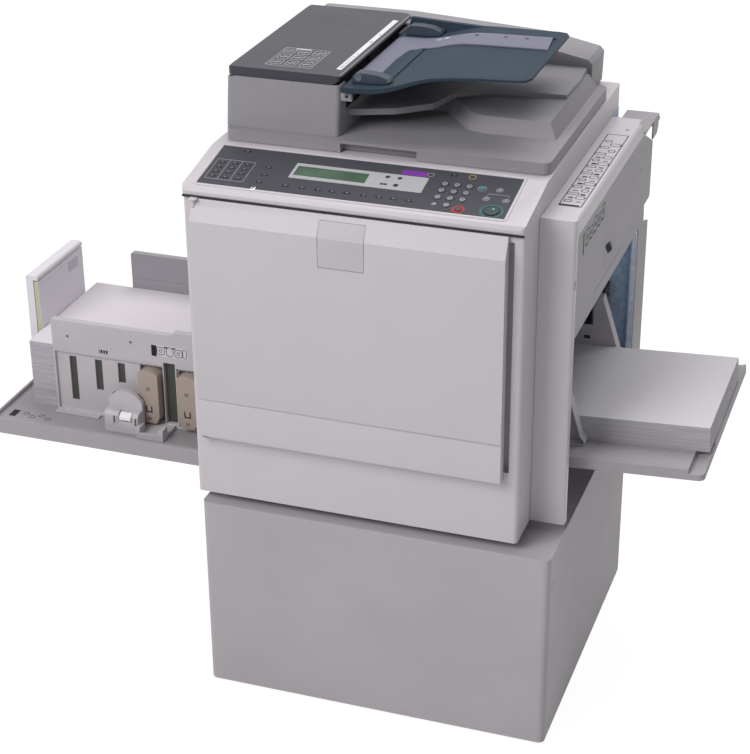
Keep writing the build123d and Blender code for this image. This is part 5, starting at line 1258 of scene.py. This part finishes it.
@dataclass
class Console(Assembly):
    """Everything on the sloping console face; places are in plan, and the face lifts them."""

    front: Pair = (-368.0, 1016.0)
    tilt: float = math.atan(0.19)
    film: Span = (-177.0, 363.0, -368.0, -243.0)
    bezel: Span = (-29.0, 207.0, -320.0, -273.0)
    window: Span = (-25.0, 106.0, -312.5, -279.5)
    key_radius: float = 5.4
    key_rise: float = 2.0
    key_foot: float = -5.6
    key_print: float = 5.2
    key_first: Pair = (238.0, -284.5)
    key_pitch: Pair = (21.2, 20.776)
    start_radius: float = 13.0
    start_at: Pair = (336.5, -348.5)
    stop_radius: float = 7.2
    stop_at: Pair = (281.5, -354.0)
    clear_at: Pair = (302.5, -285.5)
    mode_at: Pair = (276.8, -254.7)
    purple: Span = (155.6, 199.8, -270.0, -255.5)
    block: Span = (-170.0, -100.0, -350.0, -287.0)
    block_rules: Pair = (-147.0, -124.0)
    block_columns: Triple = (-159.0, -135.5, -112.0)
    block_rows: Span = (-296.0, -311.0, -326.0, -341.0)
    link_at: Pair = (332.0, -328.0)
    arrow_keys: Rows = ((137.3, -284.0, 4.4), (158.7, -284.0, 4.4), (158.7, -306.8, 4.8))
    ringed_keys: Rows = ((332.3, -284.2, 3.6), (317.8, -314.0, 3.6), (351.0, -314.0, 3.6))
    end_key: Triple = (237.6, -346.7, 4.6)
    lone_ring: Pair = (206.0, -262.0)
    down_key: Pair = (137.3, -306.8)
    row_keys: tuple[float, ...] = (-23.3, 6.3, 35.0, 60.0, 86.0, 115.5, 142.3, 167.7, 194.1)
    row_y: float = -346.0
    oblong_keys: Rows = ((-73.3, -296.6), (-71.3, -321.2), (-71.8, -344.4), (-128.6, -254.5), (245.0, -254.5))
    slider_at: Pair = (-73.6, -368.0)

    def build(self) -> None:
        """Adds the keys, the display, the printed fields, the film keys, the rim and the slider."""
        self.keys()
        self.display()
        self.prints()
        self.film_keys()
        self.rim()
        self.slider()

    def seat(self, x: float, y: float, lift: float = 0.0) -> Seat:
        """Finds the place on the console's face above a point of the plan.

        Args:
            x: The point's x.
            y: Its y.
            lift: How far the place stands off the face.

        Returns:
            The place, its up direction running up the slope.
        """
        edge, level = self.front
        rise, run = math.sin(self.tilt), math.cos(self.tilt)
        z = level + math.tan(self.tilt) * (y - edge)
        return Seat((x, y - lift * rise, z + lift * run), (1, 0, 0), (0, run, rise))

    def laid(self, span: Span) -> tuple[Seat, float, float]:
        """Finds a field's seat, its width and its height up the slope from its x and y limits in plan."""
        x0, x1, y0, y1 = span
        return self.seat((x0 + x1) / 2, (y0 + y1) / 2), x1 - x0, (y1 - y0) / math.cos(self.tilt)

    def dome(self, radius: float) -> Rows:
        """Profile of a key cap: straight wall, shoulder rounded by a quarter circle, low dish at the middle.

        Args:
            radius: The cap's radius.

        Returns:
            Radius and height of each point.
        """
        rise, edge = self.key_rise, 0.9
        shoulder = [(radius - edge * (1 - math.cos(a)), rise - edge + edge * math.sin(a))
                    for a in np.linspace(0, math.pi / 2, 7)]
        return [(0.0, self.key_foot), (radius, self.key_foot), *shoulder, (radius * 0.45, rise - 0.12),
                (0.0, rise - 0.2)]

    def cap(self, node: str, at: Pair, radius: float, finish: Finish, segments: int) -> None:
        """Stands a domed cap in for a key's CAD node."""
        self.add(node + "_cap", self.seat(*at).moved(lathe(self.dome(radius), segments)), finish, node, (node,))

    def keys(self) -> None:
        """Digit keys with their numbers and rings of painted shade, and the start, stop and clear keys."""
        (x0, y0), (dx, dy), r = self.key_first, self.key_pitch, self.key_radius
        places = {str(d): (x0 + (d - 1) % 3 * dx, y0 - (d - 1) // 3 * dy) for d in range(1, 10)}
        places["0"] = (x0 + dx, y0 - 3 * dy)
        for digit, at in places.items():
            self.cap("digit_key_" + digit, at, r, KEY_SILVER, 32)
            self.number(digit, at)
        # Dark rings round the digit keys are painted shade of the gaps that the keys sit in
        shade_rings = [self.seat(*at).moved(band(r + 2.1, r + 0.35, SUNK, 0.25, 32)) for at in places.values()]
        self.add("digit_key_painted_shade_rings", joined(shade_rings), KEY_DARK)
        self.cap("clear_key", self.clear_at, r, KEY_CLEAR, 32)
        self.cap("stop_key", self.stop_at, self.stop_radius, KEY_RED, 40)
        self.cap("start_key", self.start_at, self.start_radius, KEY_TEAL, 56)
        # The lens's pale green is a painted glow of its lamp
        lens = lathe([(0, 0.4), (1.4, 0.3), (2.0, 0.0), (2.0, -0.6), (0, -0.6)], 24)
        x, y = self.start_at
        self.add("start_key_lamp", self.seat(x + 2, y + 5, self.key_rise - 0.1).moved(lens), LENS_PAINTED_GLOW, "start_key")

    def number(self, digit: str, at: Pair) -> None:
        """Prints a key's number on its cap.

        Args:
            digit: The number.
            at: The cap's place in plan.
        """
        curve = bpy.data.curves.new("number_" + digit, "FONT")
        curve.body = digit
        curve.size = self.key_print * MM
        curve.extrude = 0.04 * MM
        curve.align_x = "CENTER"
        curve.align_y = "CENTER"
        text = bpy.data.objects.new("number_" + digit, curve)
        data = bpy.data.meshes.new_from_object(text)
        bpy.data.objects.remove(text)
        flat = np.empty(len(data.vertices) * 3)
        data.vertices.foreach_get("co", flat)
        placed = self.seat(*at, self.key_rise - 0.1).world(flat.reshape(-1, 3) / MM) * MM
        data.vertices.foreach_set("co", placed.ravel())
        self.place(f"digit_print_{digit}", data, INK, "digit_key_" + digit)

    def field(self, name: str, span: Span, finish: Finish, lift: float, corner: float) -> None:
        """Prints one flat field of the film, given by its x and y limits in plan."""
        seat, width, height = self.laid(span)
        self.add(name, seat.moved(slab(rounded_box(width, height, corner), SUNK, lift, 0.08, 2)), finish)

    def display(self) -> None:
        """Pale bezel with its sunk display window."""
        seat, width, height = self.laid(self.bezel)
        outer = rounded_box(width, height, 2.0)
        shift = [(self.window[i] + self.window[i + 1] - self.bezel[i] - self.bezel[i + 1]) / 2 for i in (0, 2)]
        _, width, height = self.laid(self.window)
        inner = rounded_box(width - 3, height - 3, 1.0) + np.array([shift[0], shift[1] / math.cos(self.tilt)])
        self.add("display_bezel", seat.moved(frame_ring(outer, inner, -0.4, 0.7)), FILM_PALE)

    def prints(self) -> None:
        """Purple field, round prints, key block frame and the fine lines between the keys."""
        self.field("print_purple", self.purple, FILM_PURPLE, 0.25, 1.0)
        for name, at, outer, inner, finish in (
                ("print_ring_yellow", self.mode_at, 6.6, 5.6, FILM_YELLOW),
                ("stop_ring", self.stop_at, 10.6, 7.6, STOP_RED),
                ("start_ring", self.start_at, 20.0, 16.6, START_GREEN),
                ("clear_ring", self.clear_at, 7.6, 6.8, FILM_LINE_AND_GLINT)):
            self.add(name, self.seat(*at).moved(band(outer, inner, SUNK, 0.3, 48)), finish)
        half, thick = 0.35, 0.2
        seat, width, height = self.laid(self.block)
        box = ring_at(rounded_box(width, height, 1.5), 0.15)
        self.add("key_block_frame", seat.moved(bar(box, half, thick, closed=True)), FILM_LINE_AND_GLINT)
        for index, x in enumerate(self.block_rules):
            self.field(f"key_block_rule_{index}", (x - half, x + half, *self.block[2:]), FILM_LINE_AND_GLINT, 0.3, 0.2)
        link = ring_at(np.array([(-17.0, 14.5), (-14.0, 30.0), (22.0, 30.0), (19.0, 14.5)]), 0.15)
        self.add("key_link_line", self.seat(*self.link_at).moved(bar(link, half, thick)), FILM_LINE_AND_GLINT)

    def film_keys(self) -> None:
        """Keys under the film: small round and oblong caps, each oblong one with a pale painted glint."""
        rounds = [(*row, KEY_DARK) for row in self.arrow_keys]
        rounds += [(*row, KEY_SILVER) for row in (*self.ringed_keys, self.end_key)]
        for index, (x, y, r, finish) in enumerate(rounds):
            cap = lathe([(0, -0.2), (r, -0.2), (r, 0.5), (r - 0.7, 1.0), (r * 0.4, 1.25), (0, 1.3)], 28)
            self.add(f"film_key_round_{index}", self.seat(x, y).moved(cap), finish)
        oblongs = [self.down_key, *((x, self.row_y) for x in self.row_keys), *self.oblong_keys]
        oblongs += [(x, y) for x in self.block_columns for y in self.block_rows]
        cap = slab(rounded_box(13.0, 5.4 / math.cos(self.tilt), 2.5), SUNK, 0.9, 0.5)
        # The pale mark on each oblong cap is a painted glint
        mark = slab(rounded_box(3.4, 1.5, 0.7), SUNK, 0.15, 0.05, 2)
        for index, (x, y) in enumerate(oblongs):
            self.add(f"film_key_oblong_{index}", self.seat(x, y).moved(cap), KEY_DARK)
            self.add(f"film_key_painted_glint_{index}", self.seat(x, y, 0.85).moved(mark), FILM_LINE_AND_GLINT)

    def rim(self) -> None:
        """Low raised rim of the moulding round the film, and the pale rings round some film keys."""
        seat, width, height = self.laid(self.film)
        inner = rounded_box(width + 0.6, height + 0.6, 1.5)
        self.add("console_rim", seat.moved(frame_ring(inset(inner, -5.0), inner, -0.3, 1.1, 0.4)), SHELL)
        places = [*(row[:2] for row in self.ringed_keys), self.lone_ring]
        rings = [self.seat(*at).moved(band(5.9, 5.0, SUNK, 0.3, 32)) for at in places]
        self.add("film_key_rings", joined(rings), FILM_LINE_AND_GLINT)

    def slider(self) -> None:
        """Bright contrast slider at the film's front edge."""
        knob = slab(rounded_box(9.0, 11.0, 2.0), -1.0, 3.0, 1.2)
        self.add("contrast_slider", self.seat(*self.slider_at).moved(knob), CHROME)


@dataclass
class Feeder(Assembly):
    """Print and small fittings of the document feeder's lid, tray and guides."""

    body = "adf_cover"
    lid_top: float = 1167.0
    lid_slope: float = -0.09
    patch: Pair = (-86.5, -112.5)
    patch_columns: Triple = (-27.0, 0.0, 27.0)
    patch_rows: Triple = (-32.0, 0.0, 32.0)
    strip_at: Pair = (4.0, 2.5)
    strip_size: Pair = (9.5, 311.0)
    ticks: tuple[float, ...] = (-146, -138, -131, -121, -112, -104, -92, -80, -62, 12, 14.5, 60)
    highlight_at: Pair = (16.6, 10.0)
    highlight_size: Pair = (2.6, 386.0)
    recess: Pair = (46.0, 1162.5)
    guide_faces: Pair = (-172.0, 146.0)
    sweep: Rows = ((25, 1151), (80, 1152), (100, 1154.5), (120, 1159.5), (140, 1166), (160, 1171.5), (180, 1175),
                   (210, 1177), (270, 1179), (345, 1181))
    band_back: Rows = ((27, -106), (27, 106), (34, 113), (110, 115), (164, 104), (235, 99), (320, 97))
    band_front: Rows = ((66, -106), (65, -20), (70, 36), (92, 50), (140, 42), (186, 31), (255, 27), (329, 24))
    band_share: tuple[float, ...] = (0.0, 0.012, 0.25, 0.5, 0.75, 0.988, 1.0)
    band_lift: float = 0.3
    band_thick: float = 2.2
    dots_at: Rows = ((182.6, 86.0), (237.2, 82.0), (276.5, 80.0))
    marks_at: Pair = (108.0, 98.0)
    marks_slope: float = 0.26

    def build(self) -> None:
        """Dresses the lid, the two guides and the tray."""
        self.lid()
        front, rear = self.guide_faces
        self.guide("original_guide_front", front, 1)
        self.guide("original_guide_rear", rear, -1)
        self.tray()

    def lid(self) -> None:
        """Pale field of plain frames, white size strip with its ticks and a painted highlight along the lid's lip."""
        field = Seat((*self.patch, self.lid_top))
        rows = [(x, y, 21.0, 24.0, 2.0) for x in self.patch_columns for y in self.patch_rows]
        self.outline("lid_print_frames", field, [(0, 0, 85, 104, 1), *rows], LID_PRINT, line=1.0)
        bars = [(x + d, y + d / 2, 8.0, 2.4, 1.0) for x, y, *_ in rows for d in (-3.0, 3.0)]
        self.tile("lid_print_bars", field, [(-8, 48.5, 28, 5, 0.5), *bars], LID_PRINT)
        for name, at, drop, lines, finish, lift in (
                ("lid_size_strip", self.strip_at, 0.38, [(0, 0, *self.strip_size, 0.5)], STRIP_WHITE, 0.25),
                ("lid_size_ticks", self.strip_at, 0.16, [(1.0, y, 5.0, 1.5, 0.3) for y in self.ticks], INK, 0.15),
                # The pale strip along the lip is a painted highlight on the lid's edge
                ("lid_lip_painted_highlight", self.highlight_at, 1.62, [(0, 0, *self.highlight_size, 0.8)], TRIM_AND_HIGHLIGHT, 0.25)):
            seat = Seat((*at, self.lid_top - drop), (1.0, 0.0, self.lid_slope))
            self.tile(name, seat, lines, finish, lift=lift)

    def guide(self, body: str, face: float, side: int) -> None:
        """Round finger recess and pale arrow tip on a guide's outer face.

        Args:
            body: The guide.
            face: The y of its outer face.
            side: 1 where that face looks to the front, -1 where it looks to the rear.
        """
        x, z = self.recess
        seat = Seat((x, face, z), (side, 0, 0), (0, 0, 1))
        rim = [(5.2, -0.2), (6.6, -0.2), (6.4, 0.5), (5.8, 0.7), (5.3, 0.4), (4.6, 0.1), (0.0, 0.06), (0.0, -0.2),
               (5.2, -0.2)]
        self.add(body + "_recess", seat.moved(lathe(rim, 36)), GUIDE_RIM, body)
        tip = soft_outline([(side * 52, -4.5), (side * 57.5, -2.0), (side * 53.5, 1.5)][::side], 1.2)
        self.add(body + "_tip", seat.moved(slab(tip, SUNK, 0.4, 0.1, 2)), TRIM_AND_HIGHLIGHT, body)

    def height(self, x: np.ndarray | float) -> np.ndarray:
        """Returns the height of the tray's surface at places along x, by lines through its sweep."""
        return np.interp(x, *np.array(self.sweep, float).T)

    def tray(self) -> None:
        """Raised grey band that turns the corner of the tray's dish, with its dots and plain marks.

        The band's plan runs from its back line to its front line by shares; its height is the tray's plus a lift.
        """
        back, front = along(self.band_back, 72), along(self.band_front, 72)
        share = np.array(self.band_share)
        plan = back[:, None] + (front - back)[:, None] * share[None, :, None]
        lift = np.where((share > 0) & (share < 1), self.band_lift, 0.0)
        upper = np.concatenate([plan, (self.height(plan[..., 0]) + lift)[..., None]], axis=-1)
        lower = upper[:, ::-1] - np.array([0.0, 0.0, self.band_thick])
        self.add("tray_band", capped(np.concatenate([upper, lower], axis=1)), TRAY_LABEL, "original_tray")
        dot = lathe([(0, 0.3), (3.4, 0.25), (4.2, -0.2), (0, -0.2)], 20)
        dots = [Seat((x, y, self.height(x) + self.band_lift)).moved(dot) for x, y in self.dots_at]
        self.add("tray_dots", joined(dots), INK, "original_tray")
        x, y = self.marks_at
        seat = Seat((x, y, self.height(x) + 0.5), (1.0, 0.0, self.marks_slope))
        marks = [(0, 0, 11, 8, 3.5), (16, 2, 13, 10, 1), (16, 2, 6, 5, 0.6)]
        self.outline("tray_marks", seat, marks, STRIP_WHITE, "original_tray", 1.3)


@dataclass
class FeedUnit(Assembly):
    """Bare labels, the latch, the gears and the strip of the feed bay, made bright as painted light."""

    top: float = 994.0
    strip_at: Pair = (437.0, -40.0)
    dot_at: Pair = (447.0, 176.0)
    side_at: Pair = (-157.5, 934.0)
    slot_at: Pair = (-286.0, 879.0)
    latch_at: Pair = (-25.0, 841.0)
    latch_frame: Rows = ((-37.0, -35.0), (37.0, -35.0), (37.0, 35.0), (-37.0, 35.0))
    latch_hole: Rows = ((-30.0, -2.0), (22.0, -13.0), (26.0, 11.0), (-34.0, 20.0))
    latch_tongue: Rows = ((-24.0, -4.0), (-13.0, -6.0), (-15.0, 13.0), (-27.0, 15.0))
    case_at: Triple = (398.0, 218.0, 602.0)
    case_size: Triple = (40.0, 30.0, 62.0)
    gears: Rows = ((418.0, 218.0, 652.0, 9.0), (418.0, 216.0, 627.0, 12.5))
    bay_strip: Span = (455.0, 465.0, 522.0, 760.0)
    bay_back: float = 239.0

    def build(self) -> None:
        """Adds the labels, the latch, the gears and the bay's strip."""
        self.top_label()
        self.side_label()
        self.latch()
        self.bay()

    def top_label(self) -> None:
        """Pale label with rows of plain frames and bars on the unit's top, and a dark red dot."""
        seat, on_label = Seat((*self.strip_at, self.top)), Seat((*self.strip_at, self.top + 0.1))
        self.tile("unit_top_label", seat, [(0, 0, 42, 372, 1)], LABEL, lift=0.12)
        rows = [(-9.0 + 17 * (i % 2), -160.0 + 17.0 * i, 13.0 + 4 * (i % 3), 11.0 + 3 * (i % 2), 2.0 + 3 * (i % 2))
                for i in range(19)]
        self.outline("unit_top_frames", on_label, [(0, 0, 40, 370, 1), *rows], INK, line=1.7)
        bars = [(9.0 - 17 * (i % 2), -162.0 + 17.0 * i, 9.0, 3.0 + 2 * (i % 3), 1.0) for i in range(14)]
        self.tile("unit_top_bars", on_label, [(-2, -181.0, 35, 8, 0.5), *bars], INK, lift=0.15)
        self.tile("unit_top_dot", Seat((*self.dot_at, self.top)), [(0, 0, 6, 6, 2.9)], DOT_RED)

    def side_label(self) -> None:
        """Row of plain frames on the unit's side, and a dark tile of painted shade for the slot in the front edge."""
        seat = right_seat(RIGHT_FACE, *self.side_at)
        rows = [(-52.0 + 30 * i, 3.0 - 3 * (i % 2), 24.0, 30.0 - 6 * (i % 2), 3.0 + 3 * (i % 2)) for i in range(5)]
        rings = [(x, y, 9.0, 9.0, 4.4) for x, y, *_ in rows]
        self.outline("unit_side_frames", seat, rows + rings, INK, line=2.0)
        bars = [(x - 6, -9.0, 10, 2.6, 1) for x, *_ in rows]
        self.tile("unit_side_bars", seat, [(-78, 0, 7, 40, 0.5), *bars], INK)
        # The dark tile for the slot is painted shade
        self.tile("front_edge_slot_painted_shade", right_seat(RIGHT_FACE, *self.slot_at), [(0, 0, 3.4, 17, 1.2)], INK, lift=0.1)

    def latch(self) -> None:
        """Latch in the side plate: dark recess, plate with a slanting hole, and the tongue behind it."""
        seat = right_seat(RIGHT_FACE, *self.latch_at)
        self.add("latch_recess", seat.moved(slab(rounded_box(84.0, 78.0, 3.0), -17.0, -14.5, 0.5)), BLACK)
        plate = frame_ring(soft_outline(self.latch_frame, 4.0), soft_outline(self.latch_hole, 3.0), -1.5, 0.35)
        self.add("latch_plate", seat.moved(plate), PANEL)
        tongue = slab(soft_outline(self.latch_tongue, 2.0), -14.6, -4.0, 1.0)
        self.add("latch_tongue", seat.moved(tongue), GUIDE)

    def bay(self) -> None:
        """Gear case, its two gears and the strip at the back of the feed bay, made near white as painted light."""
        width, depth, height = self.case_size
        case = slab(rounded_box(width, depth, 3.0), 0.0, height, 1.5)
        self.add("bay_gear_case", Seat(self.case_at).moved(case), BLACK)
        wheels = []
        for *at, r in self.gears:
            rim = [(0, 4.0), (2.0, 4.0), (2.0, 2.4), (r - 3, 2.4), (r - 2, 3.6), (r, 3.4), (r, 0.0), (0, 0.0)]
            wheels.append(right_seat(*at).moved(lathe(rim, 36)))
        self.add("bay_gears", joined(wheels), UNIT)
        x0, x1, z0, z1 = self.bay_strip
        seat = front_seat((x0 + x1) / 2, self.bay_back, (z0 + z1) / 2)
        self.tile("bay_strip", seat, [(0, 0, x1 - x0, z1 - z0, 0.8)], BAY_STRIP_PAINTED_LIGHT, lift=0.6)


@dataclass
class FeedTable(Assembly):
    """Paper on the feed table, which lies tilted with it."""

    body = BODY_OF["feed_table"]
    pivot: Pair = (403.0, 519.4)
    tilt: float = TABLE_TILT
    stack: Span = (274.0, 694.0, -161.5, 135.5)
    height: float = 48.0
    bundles: int = 30

    def build(self) -> None:
        """Adds the stack, turned with the table about the pivot."""
        x0, x1, y0, y1 = self.stack
        px, pz = self.pivot
        sheet = rounded_box(x1 - x0, y1 - y0, 1.0, 3) + np.array([(x0 + x1) / 2 - px, (y0 + y1) / 2])
        stack = ream(sheet, 0.05, self.height, self.bundles, 0.9)
        x, y, z = stack.points.T
        rise, run = math.sin(self.tilt), math.cos(self.tilt)
        turned = Mesh(np.stack([px + x * run - z * rise, y, pz + x * rise + z * run], axis=-1), stack.faces)
        self.add("feed_paper_sheets", turned, PAPER_FEED, BODY_OF["feed_paper_stack"], ("feed_paper_stack",))


@dataclass
class DeliveryTable(Assembly):
    """Paper, foam and small fittings of the delivery table and its plates."""

    floor: float = 417.0
    stack: Span = (-652.0, -232.0, -161.5, 135.5)
    stack_top: float = 553.0
    bundles: int = 60
    table_label_at: Pair = (-626.0, -215.0)
    foam_box: Span = (-104.8, 84.8, 420.3, 654.7)
    foam_back: float = -662.4
    foam_swell: Rows = ((0.0, 1.6), (1.2, 0.5), (2.4, 0.0), (5.7, 0.0), (6.9, 0.5), (8.1, 1.6))
    patch_at: Triple = (-652.6, 42.0, 633.0)
    face: float = -176.1
    label_at: Pair = (-340.5, 581.75)
    screws_at: Rows = ((-557.8, 583.7), (-422.7, 591.3))
    grille_at: Pair = (-482.0, 560.0)
    grille_bars: Span = (-8.5, -2.5, 3.5, 9.0)
    slots: Rows = ((-552.5, 443.0, 539.0, 15.0), (-497.5, 473.0, 539.0, 15.0), (-448.5, 496.0, 539.0, 15.0),
                   (-344.5, 426.0, 557.0, 24.0))
    shield_at: Pair = (-428.5, -194.1)
    shield_half: float = 35.5
    seam_share: float = 0.93
    shield_screws: Rows = ((0.0, 66.0), (-29.0, 50.0), (29.0, 50.0))
    lever_at: Triple = (-420.0, -226.1, 446.0)
    wing_face: float = -191.1
    wing_level: float = 459.0
    wing_middles: Pair = (-384.5, -303.5)

    def build(self) -> None:
        """Adds the paper, then dresses the fence, the front plate, the grip, the wings and the table."""
        self.paper()
        self.fence()
        self.front_plate()
        self.grip()
        for side, x in zip(("left", "right"), self.wing_middles):
            self.wing("delivery_wing_" + side, x)
        self.table_label()

    def paper(self) -> None:
        """The stack of prints."""
        x0, x1, y0, y1 = self.stack
        sheet = rounded_box(x1 - x0, y1 - y0, 1.0, 3) + np.array([(x0 + x1) / 2, (y0 + y1) / 2])
        self.add("delivery_paper_sheets", ream(sheet, self.floor + 0.05, self.stack_top, self.bundles, 1.0), PAPER,
                 BODY_OF["delivery_paper_stack"], ("delivery_paper_stack",))

    def fence(self) -> None:
        """Foam pad of the end fence, its edges drawn in by a swell, and the worn patch on its facing panel."""
        y0, y1, z0, z1 = self.foam_box
        outline = rounded_box(y1 - y0, z1 - z0, 2.5, 6)
        rings = np.stack([ring_at(inset(outline, pinch), height) for height, pinch in self.foam_swell])
        seat = right_seat(self.foam_back, (y0 + y1) / 2, (z0 + z1) / 2)
        foam = self.add("fence_foam_pad", seat.moved(capped(rings)), FOAM, BODY_OF["end_plate_cushion"],
                        ("end_plate_cushion",))
        self.tile("fence_patch", right_seat(*self.patch_at), [(0, 0, 42, 22, 0.5)], PATCH,
                  BODY_OF["delivery_end_plate"], lift=0.1)

    def front_plate(self) -> None:
        """Bare label, two screws, the dark grille and painted shade behind the slots of the front side plate."""
        body = BODY_OF["delivery_plate_front"]
        x, z = self.label_at
        seat, on_label = front_seat(x, self.face, z), front_seat(x, self.face - 0.1, z)
        self.tile("plate_label", seat, [(2, 0, 71, 24, 0.6)], LABEL, body, 0.1)
        rows = [(-19, 0, 17, 17, 6), (0, 0, 15, 20, 7), (18, -1, 17, 17, 6), (31, 0, 9, 20, 4), (-19, 0, 7, 7, 3.4),
                (18, -1, 7, 7, 3.4)]
        self.outline("plate_label_frames", on_label, rows, INK, body, 1.1)
        blocks = [(-33, -1, 11, 23, 0.4), (-8, 8.5, 7, 3, 1), (9, 8.5, 7, 3, 1)]
        self.tile("plate_label_block", seat, blocks, INK, body, 0.3)
        head = lathe([(0.0, 1.1), (1.6, 1.0), (2.7, 0.6), (3.2, 0.0), (3.2, -0.3), (0.0, -0.3)], 24)
        heads = [front_seat(x, self.face, z).moved(head) for x, z in self.screws_at]
        self.add("plate_screws", joined(heads), SCREW, body)
        x, z = self.grille_at
        grille = front_seat(x, self.face + 4.0, z)
        self.tile("plate_grille_dark", grille, [(0, 0, 20, 8, 0.2)], INK, body)
        # Dark tiles behind the slots are painted shade
        slot_shade_tiles = [(x, (low + high) / 2, wide + 1.0, high - low + 1.0, 0.5) for x, low, high, wide in self.slots]
        self.tile("plate_slot_painted_shade", front_seat(0.0, self.face + 9.0, 0.0), slot_shade_tiles, SLOT_PAINTED_SHADE, body)
        bars = [(x, 0, 1.6, 8, 0.3) for x in self.grille_bars]
        self.tile("plate_grille_bars", grille, bars, PLATE, body, 2.4)

    def grip(self) -> None:
        """Painted shade in the domed shield's seam, its screws, and the lever's posts with painted shade between them.

        The seam rises straight, then over an arch whose height goes with the sine of the turn to the power 0.8.
        """
        body = BODY_OF["delivery_plate_front"]
        x, y = self.shield_at
        half, turn = self.shield_half * self.seam_share, np.linspace(0, math.pi, 25)
        arch = np.stack([half * np.cos(turn), 58.0 + 19.0 * np.sin(turn) ** 0.8], axis=-1)
        path = ring_at(np.concatenate([[(half, 46.0)], arch, [(-half, 46.0)]]), 0.0)
        # The dark line along the shield's seam is painted shade
        self.add("shield_seam_painted_shade", front_seat(x, y, self.floor).moved(bar(path, 0.8, 0.25)), INK, body)
        head = lathe([(0.0, 0.8), (1.2, 0.7), (1.9, 0.0), (0.0, -0.2)], 16)
        heads = [front_seat(x + dx, y, self.floor + dz).moved(head) for dx, dz in self.shield_screws]
        self.add("shield_screws", joined(heads), SCREW, body)
        seat = front_seat(*self.lever_at)
        posts = [(side * offset, 0.0, 2.6, 15.0, 0.8) for side in (-1, 1) for offset in (19.0, 26.0)]
        self.tile("lever_posts", seat, posts, PLATE, body, 1.8)
        # The dark tiles between the posts are painted shade in the gaps
        self.tile("lever_post_painted_shade", seat, [(side * 22.5, 0.0, 2.0, 15.0, 0.4) for side in (-1, 1)], INK, body)

    def wing(self, body: str, x: float) -> None:
        """Plain square bracket between two rings, sunk print on a wing's face.

        Args:
            body: The wing.
            x: The middle of its face.
        """
        seat = front_seat(x, self.wing_face, self.wing_level)
        bracket = [(-5.5, 1.0, 2.8, 13.0, 0.4), (5.5, 1.0, 2.8, 13.0, 0.4), (0.0, -5.0, 13.8, 2.8, 0.4)]
        self.tile(body + "_bracket", seat, bracket, WING_MARK, body, 0.15)
        rings = outlines([(0.0, 44.0, 9.0, 6.5, 3.1), (0.0, -20.0, 9.0, 6.5, 3.1)], 0.9, 0.15)
        dots = tiles([(0.0, 44.0, 3.0, 2.6, 1.2), (0.0, -20.0, 3.0, 2.6, 1.2)], 0.15)
        self.add(body + "_rings", seat.moved(joined([rings, dots])), WING_MARK, body)

    def table_label(self) -> None:
        """Dark block and a row of plain frames near the table's front left corner."""
        seat, body = Seat((*self.table_label_at, self.floor)), BODY_OF["delivery_table"]
        self.tile("table_label_block", seat, [(-42, 0, 14, 26, 0.5)], INK, body, 0.15)
        rows = [(-18.0 + 17 * i, 4.0 - 8 * (i % 2), 12.0, 9.0, 2.0) for i in range(4)]
        self.outline("table_label_frames", seat, rows, INK, body, 1.2)


@dataclass
class Works(Assembly):
    """Turned pieces inside the body: the drum's screen and the ink cartridge."""

    axis: Pair = (102.0, 756.0)
    screen: Rows = ((95.0, -189.0), (95.4, -188.0), (95.4, 162.0), (95.0, 163.0), (92.5, 163.0), (92.5, -189.0),
                    (95.0, -189.0))
    cartridge: Rows = ((0.0, -281.2), (40.0, -281.2), (44.5, -280.0), (46.0, -277.0), (46.0, -258.0),
                       (42.0, -257.2), (42.0, 103.0), (0.0, 103.0))

    def build(self) -> None:
        """Adds the round pieces over their plain solids; each profile is radius and y."""
        x, z = self.axis
        seat = Seat((x, 0.0, z), (0, 0, 1), (1, 0, 0))
        self.add("drum_screen_sleeve", seat.moved(lathe(self.screen, 96)), SCREEN, BODY_OF["print_drum"])
        self.add("ink_cylinder", seat.moved(lathe(self.cartridge, 64)), CARTRIDGE, BODY_OF["ink_cartridge"])


def main() -> None:
    """Builds the machine's looks in order."""
    Studio().build()
    for assembly in (Shell(), Console(), Feeder(), FeedUnit(), FeedTable(), DeliveryTable(), Works()):
        LOG.info("building %s", type(assembly).__name__)
        assembly.build()


if __name__ == "__main__":
    logging.basicConfig(level=logging.INFO, format="%(message)s")
    main()
